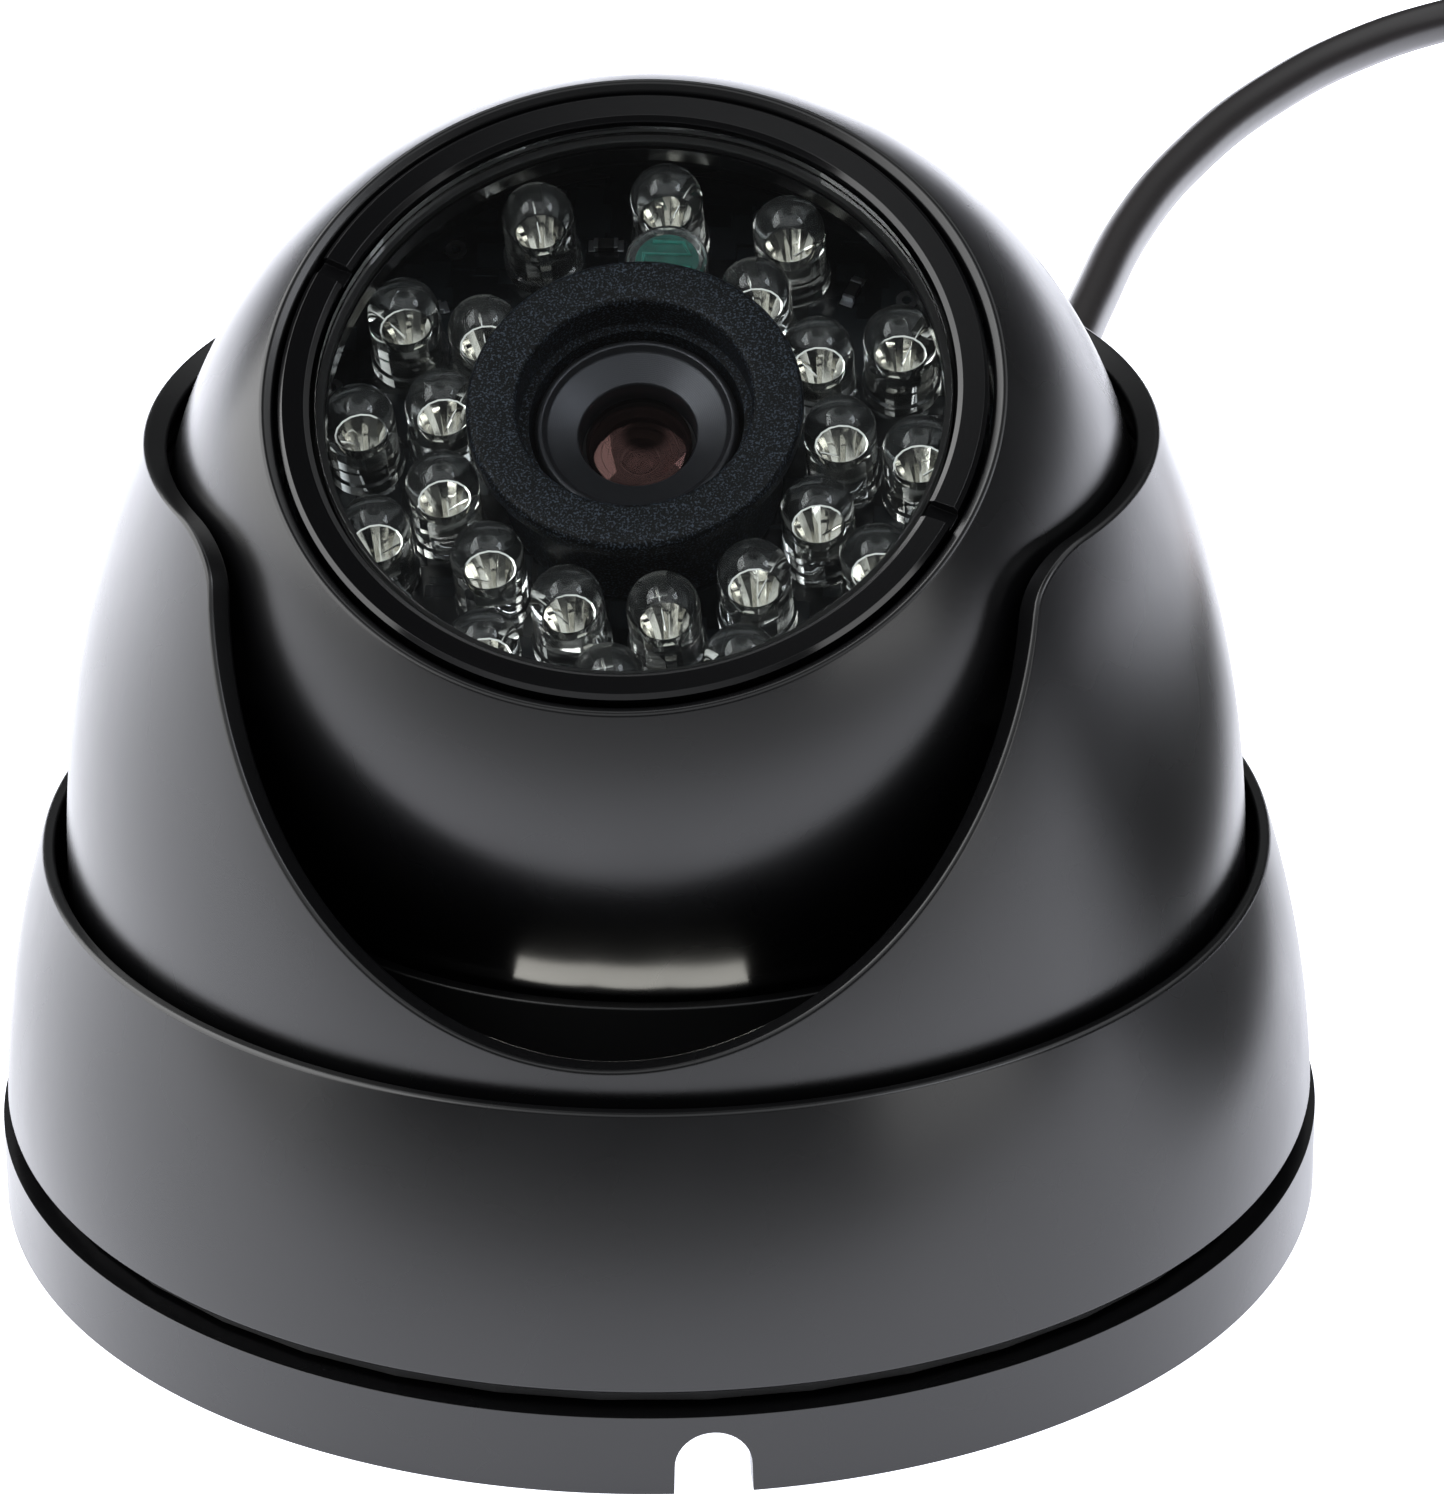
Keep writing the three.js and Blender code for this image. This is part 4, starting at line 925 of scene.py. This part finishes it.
def makeLens():
    cone = [(lens["coneOut"] + 0.35, lens["top"]), (lens["coneOut"], lens["coneTop"]),
            (lens["coneIn"] + 0.1, lens["coneFoot"]), (lens["coneIn"], lens["coneFoot"] - 0.25),
            (lens["coneIn"], lens["seat"] - 0.6), (2.6, lens["seat"] - 0.6)]
    bm = turnedMesh([(2.6, 3.2), (5.8, 3.2), (5.8, 14.4), (lens["head"], 14.4),
                     (lens["head"], lens["top"] - 0.2), (lens["head"] - 0.2, lens["top"])] + cone, 120)
    makePiece(bm, "lensBarrel", "lens", finishes["anodised"], ballPlace, bevel=0.1,
              replaces=["lens_barrel"], sharp=25)
    across, crown = lens["glass"], lens["crown"]
    bend = (across ** 2 + crown ** 2) / (2 * crown)
    edge = lens["seat"] + 0.25
    reach = degrees(atan2(across, bend - crown))
    dome = arcPoints(bend, 90 - reach, 90, 12, (0, edge + crown - bend))
    bm = turnedMesh([(0, edge - 0.5), (across, edge - 0.5)] + dome[:-1] + [(0, edge + crown)], 80)
    makePiece(bm, "lensFrontElement", "lens", finishes["front"], ballPlace,
              replaces=["lens_front_element"], sharp=50)
    floor = edge - 0.7
    steps = [(3.85, floor), (3.4, floor), (3.4, floor - 0.3), (2.8, floor - 0.3), (2.8, floor - 0.65),
             (2.2, floor - 0.65), (2.2, floor - 1.0), (1.5, floor - 1.0), (1.3, floor - 1.25),
             (1.3, floor - 2.0), (3.85, floor - 2.0)]
    makePiece(turnedMesh(steps, 80), "lensSteps", "lens", finishes["brown"], ballPlace,
              sharp=25)
    inner = arcPoints(1.8, 90 - 46, 90, 8, (0, floor - 1.75 - 1.25))[:-1]
    bm = turnedMesh([(0, floor - 1.9), (1.25, floor - 1.9)] + inner + [(0, floor - 1.2)], 48)
    makePiece(bm, "innerElement", "lens", finishes["lens"], ballPlace, sharp=50)


makeShroud()
makeLens()
print("lens made")


# the CAD pieces that stay: mostly hidden, each with its real finish

def dressCadNodes():
    kept = {
        "rubber": ["ring_seal", "strain_relief", "shell_seal", "rear_cable_bush"],
        "nylon": ["pan_washer", "board_spacer_1", "board_spacer_2"],
        "zinc": ["cradle_screw_1", "cradle_screw_2", "cradle_screw_3"],
        "plastic": ["ball_liner", "lens_holder"],
        "mask": ["lamp_board", "sensor_board"],
        "chip": ["image_sensor"],
    }
    for finish, names in kept.items():
        for name in names:
            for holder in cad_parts[name].material_slots:
                holder.material = finishes[finish]


dressCadNodes()


# floor, room and lights

# light table: lit white glass under and behind the object, its far front unlit, and its right end unlit and
# painted a darker grey, a painted shadow patch that darkens the object's right side; each span is an axis,
# where it starts and ends in metres, and its two levels
def lightTableWithPaintedShade():
    values = {"strength": 1.785, "glow": "#f2f4ff", "unlit": "#c4c4c4", "paintedShade": "#5c5c5c"}
    spans = {"front": ("Y", -0.18, -0.055, 0.08, 1), "side": ("X", 0.072, 0.09, 0, 1),
             "back": ("Y", -0.03, 0.02, 0, 1), "end": ("Y", 0.165, 0.13, 0, 1),
             "gain": ("Y", 0.05, 0.2, 1, 1.6)}
    material, tree, shader = newMaterial("lightTableWithPaintedShade", values["unlit"],
                                         {"Roughness": 0.6, "Specular IOR Level": 0.2,
                                          "Emission Color": linear(values["glow"])})
    where = addNode(tree, "TexCoord")
    parts = addNode(tree, "SeparateXYZ", {"Vector": where.outputs["Object"]})
    level = {}
    for name, (axis, start, end, low, high) in spans.items():
        span = addNode(tree, "MapRange", {"Value": parts.outputs[axis], "From Min": start, "From Max": end,
                                          "To Min": low, "To Max": high}, interpolation_type="SMOOTHSTEP")
        level[name] = span.outputs["Result"]
    # painted shade mask: right of the object and behind it the glass is unlit and its colour turns to the
    # darker painted-shade grey
    dark = level["side"]
    for name in ("back", "end"):
        dark = addNode(tree, "Math", {0: dark, 1: level[name]}, operation="MULTIPLY").outputs["Value"]
    tone = addNode(tree, "Mix", {"Factor": dark, 6: linear(values["unlit"]), 7: linear(values["paintedShade"])},
                   data_type="RGBA")
    tree.links.new(tone.outputs[2], shader.inputs["Base Color"])
    power = addNode(tree, "Math", {0: 1.0, 1: dark}, operation="SUBTRACT").outputs["Value"]
    for factor in (level["front"], level["gain"], values["strength"]):
        power = addNode(tree, "Math", {0: power, 1: factor}, operation="MULTIPLY").outputs["Value"]
    tree.links.new(power, shader.inputs["Emission Strength"])
    return material


# dim studio with a bright band of ceiling all round, and a dark ceiling straight above
def makeSky():
    values = {"dim": 0.08, "bright": 1.05, "top": 0.05, "from": 0.5, "full": 0.68, "fade": 0.93, "end": 0.975,
              "tint": (0.96, 0.98, 1)}
    world = bpy.data.worlds.new("studio")
    world.use_nodes = True
    tree = world.node_tree
    where = addNode(tree, "TexCoord")
    parts = addNode(tree, "SeparateXYZ", {"Vector": where.outputs["Generated"]})
    ramp = addNode(tree, "ValToRGB", {"Fac": parts.outputs["Z"]})
    stops = ramp.color_ramp.elements
    stops[0].position, stops[1].position = values["from"], values["end"]
    stops.new(values["full"])
    stops.new(values["fade"])
    for stop, level in zip(stops, (values["dim"], values["bright"], values["bright"], values["top"])):
        stop.color = (*(level * share for share in values["tint"]), 1)
    tree.links.new(ramp.outputs["Color"], tree.nodes["Background"].inputs["Color"])
    return world


def makeRoom():
    bm = bmesh.new()
    bmesh.ops.create_grid(bm, x_segments=1, y_segments=1, size=4)
    mesh = bpy.data.meshes.new("floor")
    bm.to_mesh(mesh)
    bm.free()
    mesh.materials.append(lightTableWithPaintedShade())
    floor = bpy.data.objects.new("floor", mesh)
    scene.collection.objects.link(floor)
    scene.world = makeSky()
    scene.view_settings.view_transform = "Standard"


# a softbox given by its place, the point it faces, its size and how bright its face is
def addSoftbox(name, place, target, size, brightness, colour="#ffffff"):
    data = bpy.data.lights.new(name, "AREA")
    data.shape = "RECTANGLE"
    data.size, data.size_y = size
    data.energy = brightness * pi * size[0] * size[1]
    data.color = linear(colour)[:3]
    lamp = bpy.data.objects.new(name, data)
    lamp.location = place
    lamp.rotation_mode = "QUATERNION"
    lamp.rotation_quaternion = (Vector(target) - Vector(place)).to_track_quat("-Z", "Y")
    scene.collection.objects.link(lamp)
    return lamp


makeRoom()
addSoftbox("leftBox", (-0.5, 0.0, 0.36), (0, 0, 0.06), (0.95, 0.72), 3.3)
addSoftbox("rightBox", (0.5, -0.34, 0.16), (0, 0, 0.05), (0.3, 0.3), 2.2)
addSoftbox("highRight", (0.45, -0.15, 0.55), (0, 0, 0.05), (0.3, 0.2), 4, "#f4f7ff")

# three small glints that shine up on the ball from the gap under its front
glints = {"turns": (-99, -88.5, -78), "radius": 0.0303, "height": 0.028, "size": (0.0058, 0.0018),
          "brightness": 4}
for turn in glints["turns"]:
    x, y = glints["radius"] * cos(radians(turn)), glints["radius"] * sin(radians(turn))
    glint = addSoftbox("gapGlint", (x, y, glints["height"]), (x, y, 1), glints["size"],
                       glints["brightness"], "#fffdf4")
    glint.rotation_quaternion = Matrix.Rotation(radians(turn + 90), 3, "Z").to_quaternion() @ (
        Matrix.Rotation(pi, 3, "X").to_quaternion())
    glint.visible_camera = False
print("room lit")
